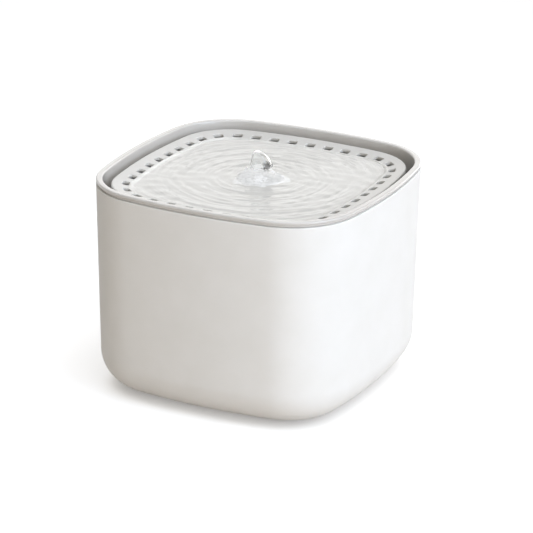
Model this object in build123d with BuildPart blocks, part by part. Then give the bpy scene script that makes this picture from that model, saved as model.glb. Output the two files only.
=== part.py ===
from build123d import *
from math import atan2, cos, degrees, radians, sin, sqrt, tan
import os

# Square pet water fountain: a casing, a tank that drops into it, and a wireless pump in the tank
# that lifts water through a filter stack to a slotted drinking tray.
# Millimetres, +Z up, origin on the floor under the middle. -Y is the front, +Y the back.

os.makedirs("parts", exist_ok=True)

# ---- outline and casing ----
rim_half_width = 95.0  # middle of a side to the axis, at the top of the rim
rim_height = 145.0  # floor to the top of the rim
side_radius = 360.0  # bow of each side at the rim
corner_radius = 48.0  # corner rounding at the rim
draft = 1.126  # degrees that the walls lean out
shell_wall = 2.2
shell_foot_radius = 25.4  # rounding where the wall meets the underside
shell_edge = 0.4  # chamfer on the top edge
deck_height = 27.0  # top of the deck that carries the tank
deck_thickness = 2.4

# ---- base: cover, gasket, screws, feet ----
foot_proud = 1.2  # how far the feet lift the casing off the floor
foot_pad_radius = 8.0
foot_pad_thickness = 2.4
foot_inset = 19.0  # cover's edge to foot centre, along X and along Y
cover_inset = 32.0  # rim's outer edge to the cover's edge
cover_thickness = 3.0
cover_clearance = 0.2
cover_edge = 0.6
collar_width = 4.0  # moulded frame round the cover
ledge_width = 5.2  # shelf that the cover seats on
collar_height = 6.0
gasket_width = 1.8
gasket_height = 1.0
screw_inset = 11.0  # cover's edge to the screws
screw_offset = 20.0  # middle of the cover to the screws, along Y
screw_shank_radius = 1.45
screw_head_radius = 2.8
screw_head_height = 1.5
screw_length = 9.0
screw_recess_depth = 1.8
boss_radius = 3.6
fit_gap = 0.15  # play between rigid pieces that are fixed together

# ---- power inlet at the back ----
socket_drop = 8.6  # deck's underside to the middle of the inlet
socket_recess_radius = 6.5
socket_recess_depth = 8.0
socket_cup_wall = 1.8
socket_barrel_radius = 4.0
socket_bore_radius = 2.8
socket_bore_depth = 9.0
socket_pin_radius = 1.0
socket_body_width = 9.0
socket_body_height = 9.0
socket_body_depth = 13.5

# ---- control board and transmitter ----
board_width = 60.0
board_depth = 34.0
board_thickness = 1.6
board_post_radius = 2.5
board_post_inset = 5.0
chip_side = 8.0
chip_height = 1.4
inductor_height = 5.0
chip_pitch = 16.0
chip_inset = 10.0  # board's inner edge to the middle of the chips
coil_margin = 1.5  # ferrite's edge to the coil's
coil_inner_radius = 9.0
coil_thickness = 1.6
ferrite_clearance = 0.7  # ferrite to the inside of the pump's housing
ferrite_thickness = 1.0

# ---- tank ----
tank_clearance = 0.3  # gap between tank and casing, also under the folded rim
tank_wall = 2.0
tank_floor = 2.2
tank_foot_radius = 14.0
rim_band_height = 3.5
rim_edge = 0.8  # chamfers on the rim's two top edges
pump_ring_wall = 2.0
pump_ring_height = 4.0
pump_ring_gap_width = 14.0
rib_thickness = 2.2
rib_offset = 30.0  # middle of a side to each rib
rib_clearance = 0.4

# ---- pump, from its foot up ----
pump_radius = 29.0
pump_play = 0.4  # pump to locating ring
damper_thickness = 1.2
damper_width = 7.0
pump_base_thickness = 1.8
pump_wall = 1.8
potting_gap = 0.8  # ferrite to what stands over it
stator_clearance = 0.6  # stator to the inside of the pump's housing
stator_yoke_width = 4.0
stator_height = 9.0
stator_pole_count = 4
stator_pole_width = 6.5
winding_build = 2.0  # copper round each pole
housing_headroom = 1.6
housing_top_thickness = 2.0
foam_flange_thickness = 1.6
foam_flange_drop = 4.6  # flange's underside below the housing's top
foam_thickness = 7.6
foam_height = 11.0
rotor_well_radius = 8.6
rotor_well_wall = 1.4
shaft_radius = 1.25
running_gap = 0.05  # rotor bore to shaft
bush_radius = 2.0
bush_length = 1.0
bush_gap = 0.3
magnet_radius = 7.9
magnet_length = 11.5
intake_height = 4.0  # housing's top to the volute plate
intake_window_count = 12
intake_window_width = 8.0
intake_window_height = 3.0
volute_plate_thickness = 1.6
volute_eye_radius = 8.0
volute_radius = 16.5
impeller_gap = 0.6  # volute plate to blades
impeller_radius = 12.5
impeller_hub_radius = 3.6
impeller_blade_height = 5.2
impeller_shroud_thickness = 1.2
blade_count = 7
blade_thickness = 1.1
blade_sweep = 48.0  # degrees that each blade trails
pump_cover_wall = 1.6
dome_headroom = 1.7  # impeller's shroud to the dome
dome_edge = 3.0  # bevel round the dome
spider_arm_count = 3
spider_wall = 0.8
outlet_socket_depth = 8.4
riser_outer_radius = 6.8
riser_wall = 1.5
seal_height = 5.0
seal_wall = 1.3
seal_play = 0.15

# ---- filter basin ----
basin_flange_drop = 19.0  # rim's top to the underside of the flange, on the tank's ribs
basin_flange_thickness = 2.0
basin_wall = 1.6
basin_lip_height = 2.4
basin_skirt_gap = 0.3
pan_depth = 14.0  # flange's underside to the pan's underside
well_inset = 29.0  # rim's outer edge to the filter well's outer face
well_depth = 16.0  # pan's underside to the filter well's underside
riser_clearance = 0.7
basin_tube_wall = 2.0
grille_slot_width = 3.6
grille_outer_count = 24
grille_margin = 10.0  # filter well's outer face to the outer slots
grille_outer_length = 18.0
grille_inner_count = 12
grille_clearance = 8.5  # basin's tube to the inner slots
grille_inner_length = 14.0

# ---- filter cartridge ----
cartridge_clearance = 0.6
cartridge_wall = 1.6
cartridge_height = 14.0
cartridge_lid_thickness = 1.6
resin_depth = 3.4
carbon_depth = 3.6
media_gap = 0.2

# ---- drinking tray ----
tray_inset = 9.9  # rim's outer edge to the tray's outer edge
tray_drop = 4.4  # rim's top to the tray's top edge
tray_wall = 2.0
tray_edge = 0.7  # chamfer on the outer top edge
tray_land = 1.1  # flat top of the edge before the border slopes in
tray_thickness = 1.8
border_width = 11.6  # sloping border, across
border_fall = 2.3
floor_step = 1.5  # border's inner edge down to the tray's floor
slot_inset = 19.1  # rim's outer edge to the middle of the slots
slots_per_side = 10
slot_length = 5.6  # along the border
slot_width = 3.9  # across the border
slot_corner = 1.0
nozzle_flange_radius = 13.0
nozzle_flange_thickness = 0.8
nozzle_spigot_radius = 10.2
nozzle_gap = 1.6  # basin's tube to the spout
spout_seal_height = 3.4
nozzle_throat_radius = 4.5
hub_wall = 2.0
hub_depth = 3.6

# ---- water on the tray ----
water_depth = 1.7
mound_radius = 19.0
mound_height = 3.0
bubble_base_radius = 8.2
bubble_top_radius = 4.6
bubble_height = 18.7
ripple_radii = [27.0, 38.0, 49.0, 60.0]
ripple_half_width = 3.6
ripple_height = 0.4

# The outlines of the rim, casing, tank, tray and filter are offsets of one another, so they
# share the centres of their arcs.
side_centre = side_radius - rim_half_width
corner_shrink = rim_half_width - corner_radius
centre_distance = side_radius - corner_radius
corner_centre = (sqrt(2 * centre_distance**2 - side_centre**2) - side_centre) / 2
corner_angle = degrees(atan2(corner_centre + side_centre, corner_centre))


def rounded_square(half_width):
    """Outline of four bowed sides and four round corners, all tangent."""
    with BuildSketch() as face:
        with BuildLine():
            for quarter in range(4):
                turn = 90 * quarter
                corner = Vector(corner_centre, corner_centre).rotate(Axis.Z, turn)
                side = Vector(0, -side_centre).rotate(Axis.Z, turn)
                start = turn + 90 - corner_angle
                CenterArc(corner, half_width - corner_shrink, start, 2 * corner_angle - 90)
                start = turn + corner_angle
                CenterArc(side, half_width + side_centre, start, 180 - 2 * corner_angle)
        make_face()
    return face.sketch


def bowed(half_width, offset):
    """Distance from the axis plane to a bowed side, offset from the side's middle."""
    return sqrt((half_width + side_centre) ** 2 - offset**2) - side_centre


def casing_half_width(height):
    """Half width of the drafted outer face at a height."""
    return rim_half_width - (rim_height - height) * tan(radians(draft))


def drafted_form(inset, bottom, top, foot_radius):
    """Solid with the casing's draft, set in from its outer face, rounded at the foot."""
    with BuildPart() as form:
        with BuildSketch(Plane.XY.offset(bottom)):
            add(rounded_square(casing_half_width(bottom) - inset))
        extrude(amount=top - bottom, taper=-draft)
        fillet(form.faces().sort_by(Axis.Z)[0].edges(), foot_radius)
    return form.part


well_half_width = rim_half_width - well_inset
basin_tube_inner_radius = riser_outer_radius + riser_clearance
basin_tube_radius = basin_tube_inner_radius + basin_tube_wall
grille_outer_radius = well_half_width - grille_margin - grille_outer_length / 2
grille_inner_radius = basin_tube_radius + grille_clearance + grille_inner_length / 2


def grille(bottom, thickness):
    """Cutters for the two rings of radial slots that let water through the filter."""
    with BuildPart() as cutters:
        with BuildSketch(Plane.XY.offset(bottom)):
            with PolarLocations(grille_outer_radius, grille_outer_count):
                Rectangle(grille_outer_length, grille_slot_width)
            with PolarLocations(grille_inner_radius, grille_inner_count):
                Rectangle(grille_inner_length, grille_slot_width)
        extrude(amount=thickness)
    return cutters.part


# ======== casing ========
shell_top = rim_height - rim_band_height - tank_clearance
deck_bottom = deck_height - deck_thickness
cover_top = foot_proud + cover_thickness
cover_half_width = rim_half_width - cover_inset
rebate_half_width = cover_half_width + cover_clearance
opening_half_width = rebate_half_width - ledge_width
gasket_half_width = rebate_half_width - (ledge_width - gasket_width) / 2
screw_spread = cover_half_width - screw_inset
screw_places = [
    (x * screw_spread, y * screw_offset) for x in (-1, 1) for y in (-1, 1)
]
socket_height = deck_bottom - socket_drop
socket_mouth = casing_half_width(socket_height) - socket_recess_depth

shell_form = drafted_form(0, foot_proud, shell_top, shell_foot_radius)
shell_hollow = drafted_form(
    shell_wall, foot_proud + shell_wall, shell_top + shell_wall, shell_foot_radius - shell_wall
)
socket_plane = Plane(origin=(0, socket_mouth, socket_height), x_dir=(-1, 0, 0), z_dir=(0, 1, 0))

with BuildPart() as shell_inside:
    # deck under the tank
    with BuildSketch(Plane.XY.offset(deck_bottom)):
        add(rounded_square(casing_half_width(deck_bottom) - shell_wall / 2))
    extrude(amount=deck_thickness)
    # frame round the bottom cover
    with BuildSketch(Plane.XY.offset(foot_proud)):
        add(rounded_square(rebate_half_width + collar_width))
        add(rounded_square(opening_half_width), mode=Mode.SUBTRACT)
    extrude(amount=collar_height)
    # screw bosses and board posts under the deck
    with BuildSketch(Plane.XY.offset(cover_top)):
        with Locations(screw_places):
            Circle(boss_radius)
    extrude(amount=deck_bottom - cover_top)
    # cup round the power inlet
    with BuildSketch(socket_plane.offset(-socket_cup_wall)):
        Circle(socket_recess_radius + socket_cup_wall)
    extrude(amount=socket_recess_depth + socket_cup_wall)
    add(shell_form, mode=Mode.INTERSECT)

with BuildPart() as outer_shell:
    add(shell_form)
    add(shell_hollow, mode=Mode.SUBTRACT)
    add(shell_inside.part)
    with BuildSketch(Plane.XY.offset(foot_proud)):
        add(rounded_square(rebate_half_width))
    extrude(amount=cover_thickness, mode=Mode.SUBTRACT)
    with BuildSketch(Plane.XY.offset(foot_proud)):
        add(rounded_square(opening_half_width))
    extrude(amount=cover_thickness, mode=Mode.SUBTRACT)
    with BuildSketch(Plane.XY.offset(cover_top)):
        add(rounded_square(gasket_half_width))
        add(rounded_square(gasket_half_width - gasket_width), mode=Mode.SUBTRACT)
    extrude(amount=gasket_height, mode=Mode.SUBTRACT)
    with BuildSketch(Plane.XY.offset(cover_top)):
        with Locations(screw_places):
            Circle(screw_shank_radius + fit_gap)
    extrude(amount=screw_length, mode=Mode.SUBTRACT)
    with BuildSketch(socket_plane):
        Circle(socket_recess_radius)
    extrude(amount=2 * socket_recess_depth, mode=Mode.SUBTRACT)
    with BuildSketch(socket_plane.offset(-socket_cup_wall)):
        Circle(socket_barrel_radius + fit_gap)
    extrude(amount=2 * socket_cup_wall, mode=Mode.SUBTRACT)
    chamfer(outer_shell.faces().sort_by(Axis.Z)[-1].outer_wire().edges(), shell_edge)

outer_shell.part.label = "outer_shell"
export_step(outer_shell.part, "parts/outer_shell.step")

# ======== base cover, gasket, screws, feet ========
foot_spread = cover_half_width - foot_inset
foot_places = [(x * foot_spread, y * foot_spread) for x in (-1, 1) for y in (-1, 1)]

with BuildPart() as base_cover:
    with BuildSketch(Plane.XY.offset(foot_proud)):
        add(rounded_square(cover_half_width))
    extrude(amount=cover_thickness)
    chamfer(base_cover.faces().sort_by(Axis.Z)[0].edges(), cover_edge)
    with BuildSketch(Plane.XY.offset(foot_proud)):
        with Locations(foot_places):
            Circle(foot_pad_radius + fit_gap)
    extrude(amount=foot_pad_thickness - foot_proud, mode=Mode.SUBTRACT)
    with Locations(Plane.XY.offset(foot_proud)):
        with Locations(screw_places):
            Cylinder(
                screw_head_radius + fit_gap,
                screw_recess_depth,
                align=(Align.CENTER, Align.CENTER, Align.MIN),
                mode=Mode.SUBTRACT,
            )
            Cylinder(
                screw_shank_radius + fit_gap,
                cover_thickness,
                align=(Align.CENTER, Align.CENTER, Align.MIN),
                mode=Mode.SUBTRACT,
            )

base_cover.part.label = "base_cover"
export_step(base_cover.part, "parts/base_cover.step")

with BuildPart() as base_gasket:
    with BuildSketch(Plane.XY.offset(cover_top)):
        add(rounded_square(gasket_half_width - fit_gap))
        add(rounded_square(gasket_half_width - gasket_width + fit_gap), mode=Mode.SUBTRACT)
    extrude(amount=gasket_height)

base_gasket.part.label = "base_gasket"
export_step(base_gasket.part, "parts/base_gasket.step")

with BuildPart() as base_screws:
    with BuildSketch(Plane.XY.offset(foot_proud + screw_recess_depth - screw_head_height)):
        with Locations(screw_places):
            Circle(screw_head_radius)
    extrude(amount=screw_head_height)
    with BuildSketch(Plane.XY.offset(foot_proud + screw_recess_depth)):
        with Locations(screw_places):
            Circle(screw_shank_radius)
    extrude(amount=screw_length)

base_screws.part.label = "base_screws"
export_step(base_screws.part, "parts/base_screws.step")

with BuildPart() as rubber_feet:
    with BuildSketch():
        with Locations(foot_places):
            Circle(foot_pad_radius)
    extrude(amount=foot_pad_thickness)
    chamfer(rubber_feet.faces().group_by(Axis.Z)[0].edges(), foot_proud / 2)

rubber_feet.part.label = "rubber_feet"
export_step(rubber_feet.part, "parts/rubber_feet.step")

# ======== power inlet and electronics ========
with BuildPart() as power_socket:
    with BuildSketch(socket_plane.offset(-socket_cup_wall)):
        Rectangle(socket_body_width, socket_body_height)
    extrude(amount=-socket_body_depth)
    with BuildSketch(socket_plane.offset(-socket_cup_wall)):
        Circle(socket_barrel_radius)
    extrude(amount=socket_cup_wall)
    with BuildSketch(socket_plane):
        Circle(socket_bore_radius)
        Circle(socket_pin_radius, mode=Mode.SUBTRACT)
    extrude(amount=-socket_bore_depth, mode=Mode.SUBTRACT)

power_socket.part.label = "power_socket"
export_step(power_socket.part, "parts/power_socket.step")

board_bottom = socket_height + socket_body_height / 2
board_top = board_bottom + board_thickness
board_back = socket_mouth - 2 * socket_cup_wall
board_middle = board_back - board_depth / 2

with BuildPart() as control_board:
    with BuildSketch(Plane.XY.offset(board_bottom)):
        with Locations((0, board_middle)):
            Rectangle(board_width, board_depth)
    extrude(amount=board_thickness)
    chip_line = board_back - board_depth + chip_inset
    for place, height in ((-chip_pitch, chip_height), (0, inductor_height), (chip_pitch, chip_height)):
        with BuildSketch(Plane.XY.offset(board_bottom)):
            with Locations((place, chip_line)):
                Rectangle(chip_side, chip_side)
        extrude(amount=-height)

control_board.part.label = "control_board"
export_step(control_board.part, "parts/control_board.step")

board_post_x = board_width / 2 - board_post_inset
board_post_y = board_depth / 2 - board_post_inset
board_post_places = [
    (x * board_post_x, board_middle + y * board_post_y) for x in (-1, 1) for y in (-1, 1)
]

with BuildPart() as board_posts:
    with BuildSketch(Plane.XY.offset(board_top)):
        with Locations(board_post_places):
            Circle(board_post_radius)
    extrude(amount=deck_bottom - board_top)

board_posts.part.label = "board_posts"
export_step(board_posts.part, "parts/board_posts.step")

housing_inner_radius = pump_radius - pump_wall
ferrite_radius = housing_inner_radius - ferrite_clearance
coil_outer_radius = ferrite_radius - coil_margin

with BuildPart() as transmitter_coil:
    with BuildSketch(Plane.XY.offset(deck_bottom - coil_thickness)):
        Circle(coil_outer_radius)
        Circle(coil_inner_radius, mode=Mode.SUBTRACT)
    extrude(amount=coil_thickness)

transmitter_coil.part.label = "transmitter_coil"
export_step(transmitter_coil.part, "parts/transmitter_coil.step")

with BuildPart() as transmitter_ferrite:
    with BuildSketch(Plane.XY.offset(deck_bottom - coil_thickness - ferrite_thickness)):
        Circle(ferrite_radius)
    extrude(amount=ferrite_thickness)

transmitter_ferrite.part.label = "transmitter_ferrite"
export_step(transmitter_ferrite.part, "parts/transmitter_ferrite.step")

# ======== tank ========
tank_outer_inset = shell_wall + tank_clearance
tank_inner_inset = tank_outer_inset + tank_wall
tank_floor_height = deck_height + tank_floor
band_bottom = rim_height - rim_band_height
tray_half_width = rim_half_width - tray_inset
basin_half_width = tray_half_width - tray_wall - basin_skirt_gap
flange_bottom = rim_height - basin_flange_drop
rib_reach = bowed(basin_half_width, rib_offset - rib_thickness / 2) + rib_clearance
ring_inner_radius = pump_radius + pump_play

tank_form = drafted_form(tank_outer_inset, deck_height, rim_height, tank_foot_radius)
tank_hollow = drafted_form(
    tank_inner_inset, tank_floor_height, rim_height, tank_foot_radius - tank_wall
)

with BuildPart() as water_tank:
    add(tank_form)
    # rim folded over the casing's top edge
    with BuildSketch(Plane.XY.offset(band_bottom)):
        add(rounded_square(casing_half_width(band_bottom)))
    extrude(amount=rim_band_height, taper=-draft)
    add(tank_hollow, mode=Mode.SUBTRACT)
    chamfer(water_tank.faces().sort_by(Axis.Z)[-1].edges(), rim_edge)
    # castellated ring that centres the pump
    with BuildSketch(Plane.XY.offset(tank_floor_height)):
        Circle(ring_inner_radius + pump_ring_wall)
        Circle(ring_inner_radius, mode=Mode.SUBTRACT)
        with PolarLocations(ring_inner_radius, 4, start_angle=45):
            Rectangle(4 * pump_ring_wall, pump_ring_gap_width, mode=Mode.SUBTRACT)
    extrude(amount=pump_ring_height)

water_tank.part.label = "water_tank"
export_step(water_tank.part, "parts/water_tank.step")

# eight ribs against the walls, which carry the filter basin
with BuildPart() as tank_ribs:
    add(tank_hollow)
    with BuildSketch(Plane.XY.offset(tank_floor_height)):
        for offset in (-rib_offset, rib_offset):
            with PolarLocations(0, 4):
                with Locations(((rib_reach + rim_half_width) / 2, offset)):
                    Rectangle(rim_half_width - rib_reach, rib_thickness)
    extrude(amount=flange_bottom - tank_floor_height, mode=Mode.INTERSECT)

tank_ribs.part.label = "tank_ribs"
export_step(tank_ribs.part, "parts/tank_ribs.step")

# ======== pump: foot, base plate and receiver ========
base_bottom = tank_floor_height + damper_thickness
base_top = base_bottom + pump_base_thickness
receiver_ferrite_bottom = base_top + coil_thickness
potting_top = receiver_ferrite_bottom + ferrite_thickness + potting_gap

with BuildPart() as pump_damper:
    with BuildSketch(Plane.XY.offset(tank_floor_height)):
        Circle(pump_radius - damper_thickness)
        Circle(pump_radius - damper_thickness - damper_width, mode=Mode.SUBTRACT)
    extrude(amount=damper_thickness)

pump_damper.part.label = "pump_damper"
export_step(pump_damper.part, "parts/pump_damper.step")

with BuildPart() as pump_base:
    with BuildSketch(Plane.XY.offset(base_bottom)):
        Circle(pump_radius)
    extrude(amount=pump_base_thickness)

pump_base.part.label = "pump_base"
export_step(pump_base.part, "parts/pump_base.step")

with BuildPart() as receiver_coil:
    with BuildSketch(Plane.XY.offset(base_top)):
        Circle(coil_outer_radius)
        Circle(coil_inner_radius, mode=Mode.SUBTRACT)
    extrude(amount=coil_thickness)

receiver_coil.part.label = "receiver_coil"
export_step(receiver_coil.part, "parts/receiver_coil.step")

with BuildPart() as receiver_ferrite:
    with BuildSketch(Plane.XY.offset(receiver_ferrite_bottom)):
        Circle(ferrite_radius)
    extrude(amount=ferrite_thickness)

receiver_ferrite.part.label = "receiver_ferrite"
export_step(receiver_ferrite.part, "parts/receiver_ferrite.step")

# ======== pump: stator ========
well_outer_radius = rotor_well_radius + rotor_well_wall
winding_bottom = potting_top
stator_bottom = winding_bottom + winding_build
winding_height = stator_height + 2 * winding_build
stator_outer_radius = housing_inner_radius - stator_clearance
pole_reach = well_outer_radius + fit_gap
pole_length = stator_outer_radius - stator_yoke_width / 2 - pole_reach
yoke_inner_radius = stator_outer_radius - stator_yoke_width
winding_half_width = stator_pole_width / 2 + winding_build
winding_end = sqrt((yoke_inner_radius - fit_gap) ** 2 - winding_half_width**2)
winding_length = winding_end - pole_reach - winding_build
winding_middle = pole_reach + winding_build + winding_length / 2

with BuildPart() as stator_core:
    with BuildSketch(Plane.XY.offset(stator_bottom)):
        Circle(stator_outer_radius)
        Circle(yoke_inner_radius, mode=Mode.SUBTRACT)
        with PolarLocations(pole_reach + pole_length / 2, stator_pole_count):
            Rectangle(pole_length, stator_pole_width)
        Circle(pole_reach, mode=Mode.SUBTRACT)
    extrude(amount=stator_height)

stator_core.part.label = "stator_core"
export_step(stator_core.part, "parts/stator_core.step")

with BuildPart() as stator_windings:
    with BuildSketch(Plane.XY.offset(winding_bottom)):
        with PolarLocations(winding_middle, stator_pole_count):
            Rectangle(winding_length, 2 * winding_half_width)
    extrude(amount=winding_height)
    with BuildSketch(Plane.XY.offset(stator_bottom - fit_gap)):
        with PolarLocations(winding_middle, stator_pole_count):
            Rectangle(winding_length, stator_pole_width + 2 * fit_gap)
    extrude(amount=stator_height + 2 * fit_gap, mode=Mode.SUBTRACT)

stator_windings.part.label = "stator_windings"
export_step(stator_windings.part, "parts/stator_windings.step")

# ======== pump: housing ========
# A turned can, open below, with a flange for the foam and a closed well for the rotor.
housing_roof = winding_bottom + winding_height + housing_headroom
housing_top = housing_roof + housing_top_thickness
foam_inner_radius = pump_radius + media_gap
foam_outer_radius = foam_inner_radius + foam_thickness
foam_flange_bottom = housing_top - foam_flange_drop
foam_flange_top = foam_flange_bottom + foam_flange_thickness
rotor_well_floor = potting_top + rotor_well_wall

with BuildPart() as pump_housing:
    with BuildSketch(Plane.XZ):
        with BuildLine():
            Polyline(
                (0, potting_top),
                (well_outer_radius, potting_top),
                (well_outer_radius, housing_roof),
                (housing_inner_radius, housing_roof),
                (housing_inner_radius, base_top),
                (pump_radius, base_top),
                (pump_radius, foam_flange_bottom),
                (foam_outer_radius, foam_flange_bottom),
                (foam_outer_radius, foam_flange_top),
                (pump_radius, foam_flange_top),
                (pump_radius, housing_top),
                (rotor_well_radius, housing_top),
                (rotor_well_radius, rotor_well_floor),
                (0, rotor_well_floor),
                close=True,
            )
        make_face()
    revolve(axis=Axis.Z)

pump_housing.part.label = "pump_housing"
export_step(pump_housing.part, "parts/pump_housing.step")

with BuildPart() as intake_foam:
    with BuildSketch(Plane.XY.offset(foam_flange_top)):
        Circle(foam_outer_radius)
        Circle(foam_inner_radius, mode=Mode.SUBTRACT)
    extrude(amount=foam_height)

intake_foam.part.label = "intake_foam"
export_step(intake_foam.part, "parts/intake_foam.step")

# ======== pump: rotor ========
magnet_bottom = rotor_well_floor + bush_length + bush_gap
magnet_top = magnet_bottom + magnet_length
rotor_bore_radius = shaft_radius + running_gap
volute_plate_bottom = housing_top + intake_height
volute_plate_top = volute_plate_bottom + volute_plate_thickness
blade_bottom = volute_plate_top + impeller_gap
blade_top = blade_bottom + impeller_blade_height
shroud_top = blade_top + impeller_shroud_thickness
upper_bush_bottom = shroud_top + bush_gap
shaft_top = upper_bush_bottom + bush_length + bush_gap

with BuildPart() as rotor_magnet:
    with BuildSketch(Plane.XY.offset(magnet_bottom)):
        Circle(magnet_radius)
        Circle(rotor_bore_radius, mode=Mode.SUBTRACT)
    extrude(amount=magnet_length)

rotor_magnet.part.label = "rotor_magnet"
export_step(rotor_magnet.part, "parts/rotor_magnet.step")

blade_root = impeller_hub_radius - blade_thickness / 2
blade_tip = impeller_radius - blade_thickness / 2
blade_middle = (blade_root + blade_tip) / 2
tip_angle = radians(-blade_sweep)
middle_angle = tip_angle / 3

with BuildPart() as impeller:
    with BuildSketch(Plane.XY.offset(magnet_top)):
        Circle(impeller_hub_radius)
    extrude(amount=blade_top - magnet_top)
    with BuildSketch(Plane.XY.offset(blade_top)):
        Circle(impeller_radius)
    extrude(amount=impeller_shroud_thickness)
    # blades that trail the turn, under the shroud
    with BuildSketch(Plane.XY.offset(blade_bottom)) as blade_section:
        with BuildLine():
            ThreePointArc(
                (blade_root, 0),
                (blade_middle * cos(middle_angle), blade_middle * sin(middle_angle)),
                (blade_tip * cos(tip_angle), blade_tip * sin(tip_angle)),
            )
        trace(line_width=blade_thickness)
    blade = extrude(blade_section.sketch, amount=impeller_blade_height, mode=Mode.PRIVATE)
    with PolarLocations(0, blade_count):
        add(blade)
    with BuildSketch(Plane.XY.offset(magnet_top)):
        Circle(rotor_bore_radius)
    extrude(amount=shroud_top - magnet_top, mode=Mode.SUBTRACT)

impeller.part.label = "impeller"
export_step(impeller.part, "parts/impeller.step")

with BuildPart() as rotor_shaft:
    with BuildSketch(Plane.XY.offset(rotor_well_floor)):
        Circle(shaft_radius)
    extrude(amount=shaft_top - rotor_well_floor)

rotor_shaft.part.label = "rotor_shaft"
export_step(rotor_shaft.part, "parts/rotor_shaft.step")

with BuildPart() as shaft_bushes:
    for bottom in (rotor_well_floor, upper_bush_bottom):
        with BuildSketch(Plane.XY.offset(bottom)):
            Circle(bush_radius)
            Circle(shaft_radius, mode=Mode.SUBTRACT)
        extrude(amount=bush_length)

shaft_bushes.part.label = "shaft_bushes"
export_step(shaft_bushes.part, "parts/shaft_bushes.step")

# ======== pump: volute plate and cover ========
cover_inner_radius = pump_radius - pump_cover_wall

with BuildPart() as volute_plate:
    with BuildSketch(Plane.XY.offset(volute_plate_bottom)):
        Circle(cover_inner_radius - fit_gap)
        Circle(volute_eye_radius, mode=Mode.SUBTRACT)
    extrude(amount=volute_plate_thickness)

volute_plate.part.label = "volute_plate"
export_step(volute_plate.part, "parts/volute_plate.step")

# Turned as well: a skirt, a deck, a dome over the impeller and a socket for the riser.
cover_deck_top = volute_plate_top + pump_cover_wall
dome_outer_radius = volute_radius + pump_cover_wall
dome_inside = shroud_top + dome_headroom
dome_outside = dome_inside + pump_cover_wall
riser_bottom = dome_outside + pump_cover_wall
riser_inner_radius = riser_outer_radius - riser_wall
socket_inner_radius = riser_outer_radius + seal_wall + 2 * seal_play
socket_outer_radius = socket_inner_radius + pump_cover_wall
spider_top = shaft_top + media_gap

with BuildPart() as pump_cover:
    with BuildSketch(Plane.XZ):
        with BuildLine():
            Polyline(
                (dome_outer_radius, dome_outside - dome_edge),
                (dome_outer_radius, cover_deck_top),
                (pump_radius, cover_deck_top),
                (pump_radius, housing_top),
                (cover_inner_radius, housing_top),
                (cover_inner_radius, volute_plate_top),
                (volute_radius, volute_plate_top),
                (volute_radius, dome_inside - dome_edge),
                (volute_radius - dome_edge, dome_inside),
                (riser_inner_radius, dome_inside),
                (riser_inner_radius, riser_bottom),
                (socket_inner_radius, riser_bottom),
                (socket_inner_radius, riser_bottom + outlet_socket_depth),
                (socket_outer_radius, riser_bottom + outlet_socket_depth),
                (socket_outer_radius, dome_outside),
                (dome_outer_radius - dome_edge, dome_outside),
                close=True,
            )
        make_face()
    revolve(axis=Axis.Z)
    # intake windows round the skirt
    with BuildSketch(Plane.XY.offset(housing_top + (intake_height - intake_window_height) / 2)):
        with PolarLocations(pump_radius, intake_window_count):
            Rectangle(4 * pump_cover_wall, intake_window_width)
    extrude(amount=intake_window_height, mode=Mode.SUBTRACT)
    # spider in the outlet, which holds the upper bush
    with BuildSketch(Plane.XY.offset(upper_bush_bottom)):
        Circle(bush_radius + spider_wall)
        with PolarLocations((riser_inner_radius + bush_radius) / 2, spider_arm_count):
            Rectangle(riser_inner_radius - bush_radius + spider_wall, 2 * spider_wall)
        Circle(bush_radius, mode=Mode.SUBTRACT)
    extrude(amount=riser_bottom - upper_bush_bottom)
    with BuildSketch(Plane.XY.offset(spider_top)):
        Circle(bush_radius + spider_wall)
    extrude(amount=riser_bottom - spider_top)

pump_cover.part.label = "pump_cover"
export_step(pump_cover.part, "parts/pump_cover.step")

# ======== riser ========
flange_top = flange_bottom + basin_flange_thickness
nozzle_bottom = flange_top + nozzle_gap
nozzle_seat = nozzle_bottom + spout_seal_height
riser_top = nozzle_seat - seal_play

with BuildPart() as riser_seal:
    with BuildSketch(Plane.XY.offset(riser_bottom)):
        Circle(socket_inner_radius - seal_play)
        Circle(riser_outer_radius + seal_play, mode=Mode.SUBTRACT)
    extrude(amount=seal_height)

riser_seal.part.label = "riser_seal"
export_step(riser_seal.part, "parts/riser_seal.step")

with BuildPart() as riser_tube:
    with BuildSketch(Plane.XY.offset(riser_bottom)):
        Circle(riser_outer_radius)
        Circle(riser_inner_radius, mode=Mode.SUBTRACT)
    extrude(amount=riser_top - riser_bottom)
    chamfer(riser_tube.faces().sort_by(Axis.Z)[-1].edges(), riser_wall / 4)

riser_tube.part.label = "riser_tube"
export_step(riser_tube.part, "parts/riser_tube.step")

# ======== filter basin ========
lip_top = flange_top + basin_lip_height
pan_bottom = flange_bottom - pan_depth
well_bottom = pan_bottom - well_depth

with BuildPart() as filter_basin:
    # pan and flange, solid
    with BuildSketch(Plane.XY.offset(pan_bottom)):
        add(rounded_square(basin_half_width))
    extrude(amount=lip_top - pan_bottom)
    with BuildSketch(Plane.XY.offset(flange_bottom)):
        add(rounded_square(tray_half_width))
    extrude(amount=basin_flange_thickness)
    # hollow, and the hole that holds the filter well
    with BuildSketch(Plane.XY.offset(pan_bottom + basin_wall)):
        add(rounded_square(basin_half_width - basin_wall))
    extrude(amount=lip_top - pan_bottom, mode=Mode.SUBTRACT)
    with BuildSketch(Plane.XY.offset(pan_bottom)):
        add(rounded_square(well_half_width))
    extrude(amount=basin_wall, mode=Mode.SUBTRACT)

filter_basin.part.label = "filter_basin"
export_step(filter_basin.part, "parts/filter_basin.step")

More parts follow.
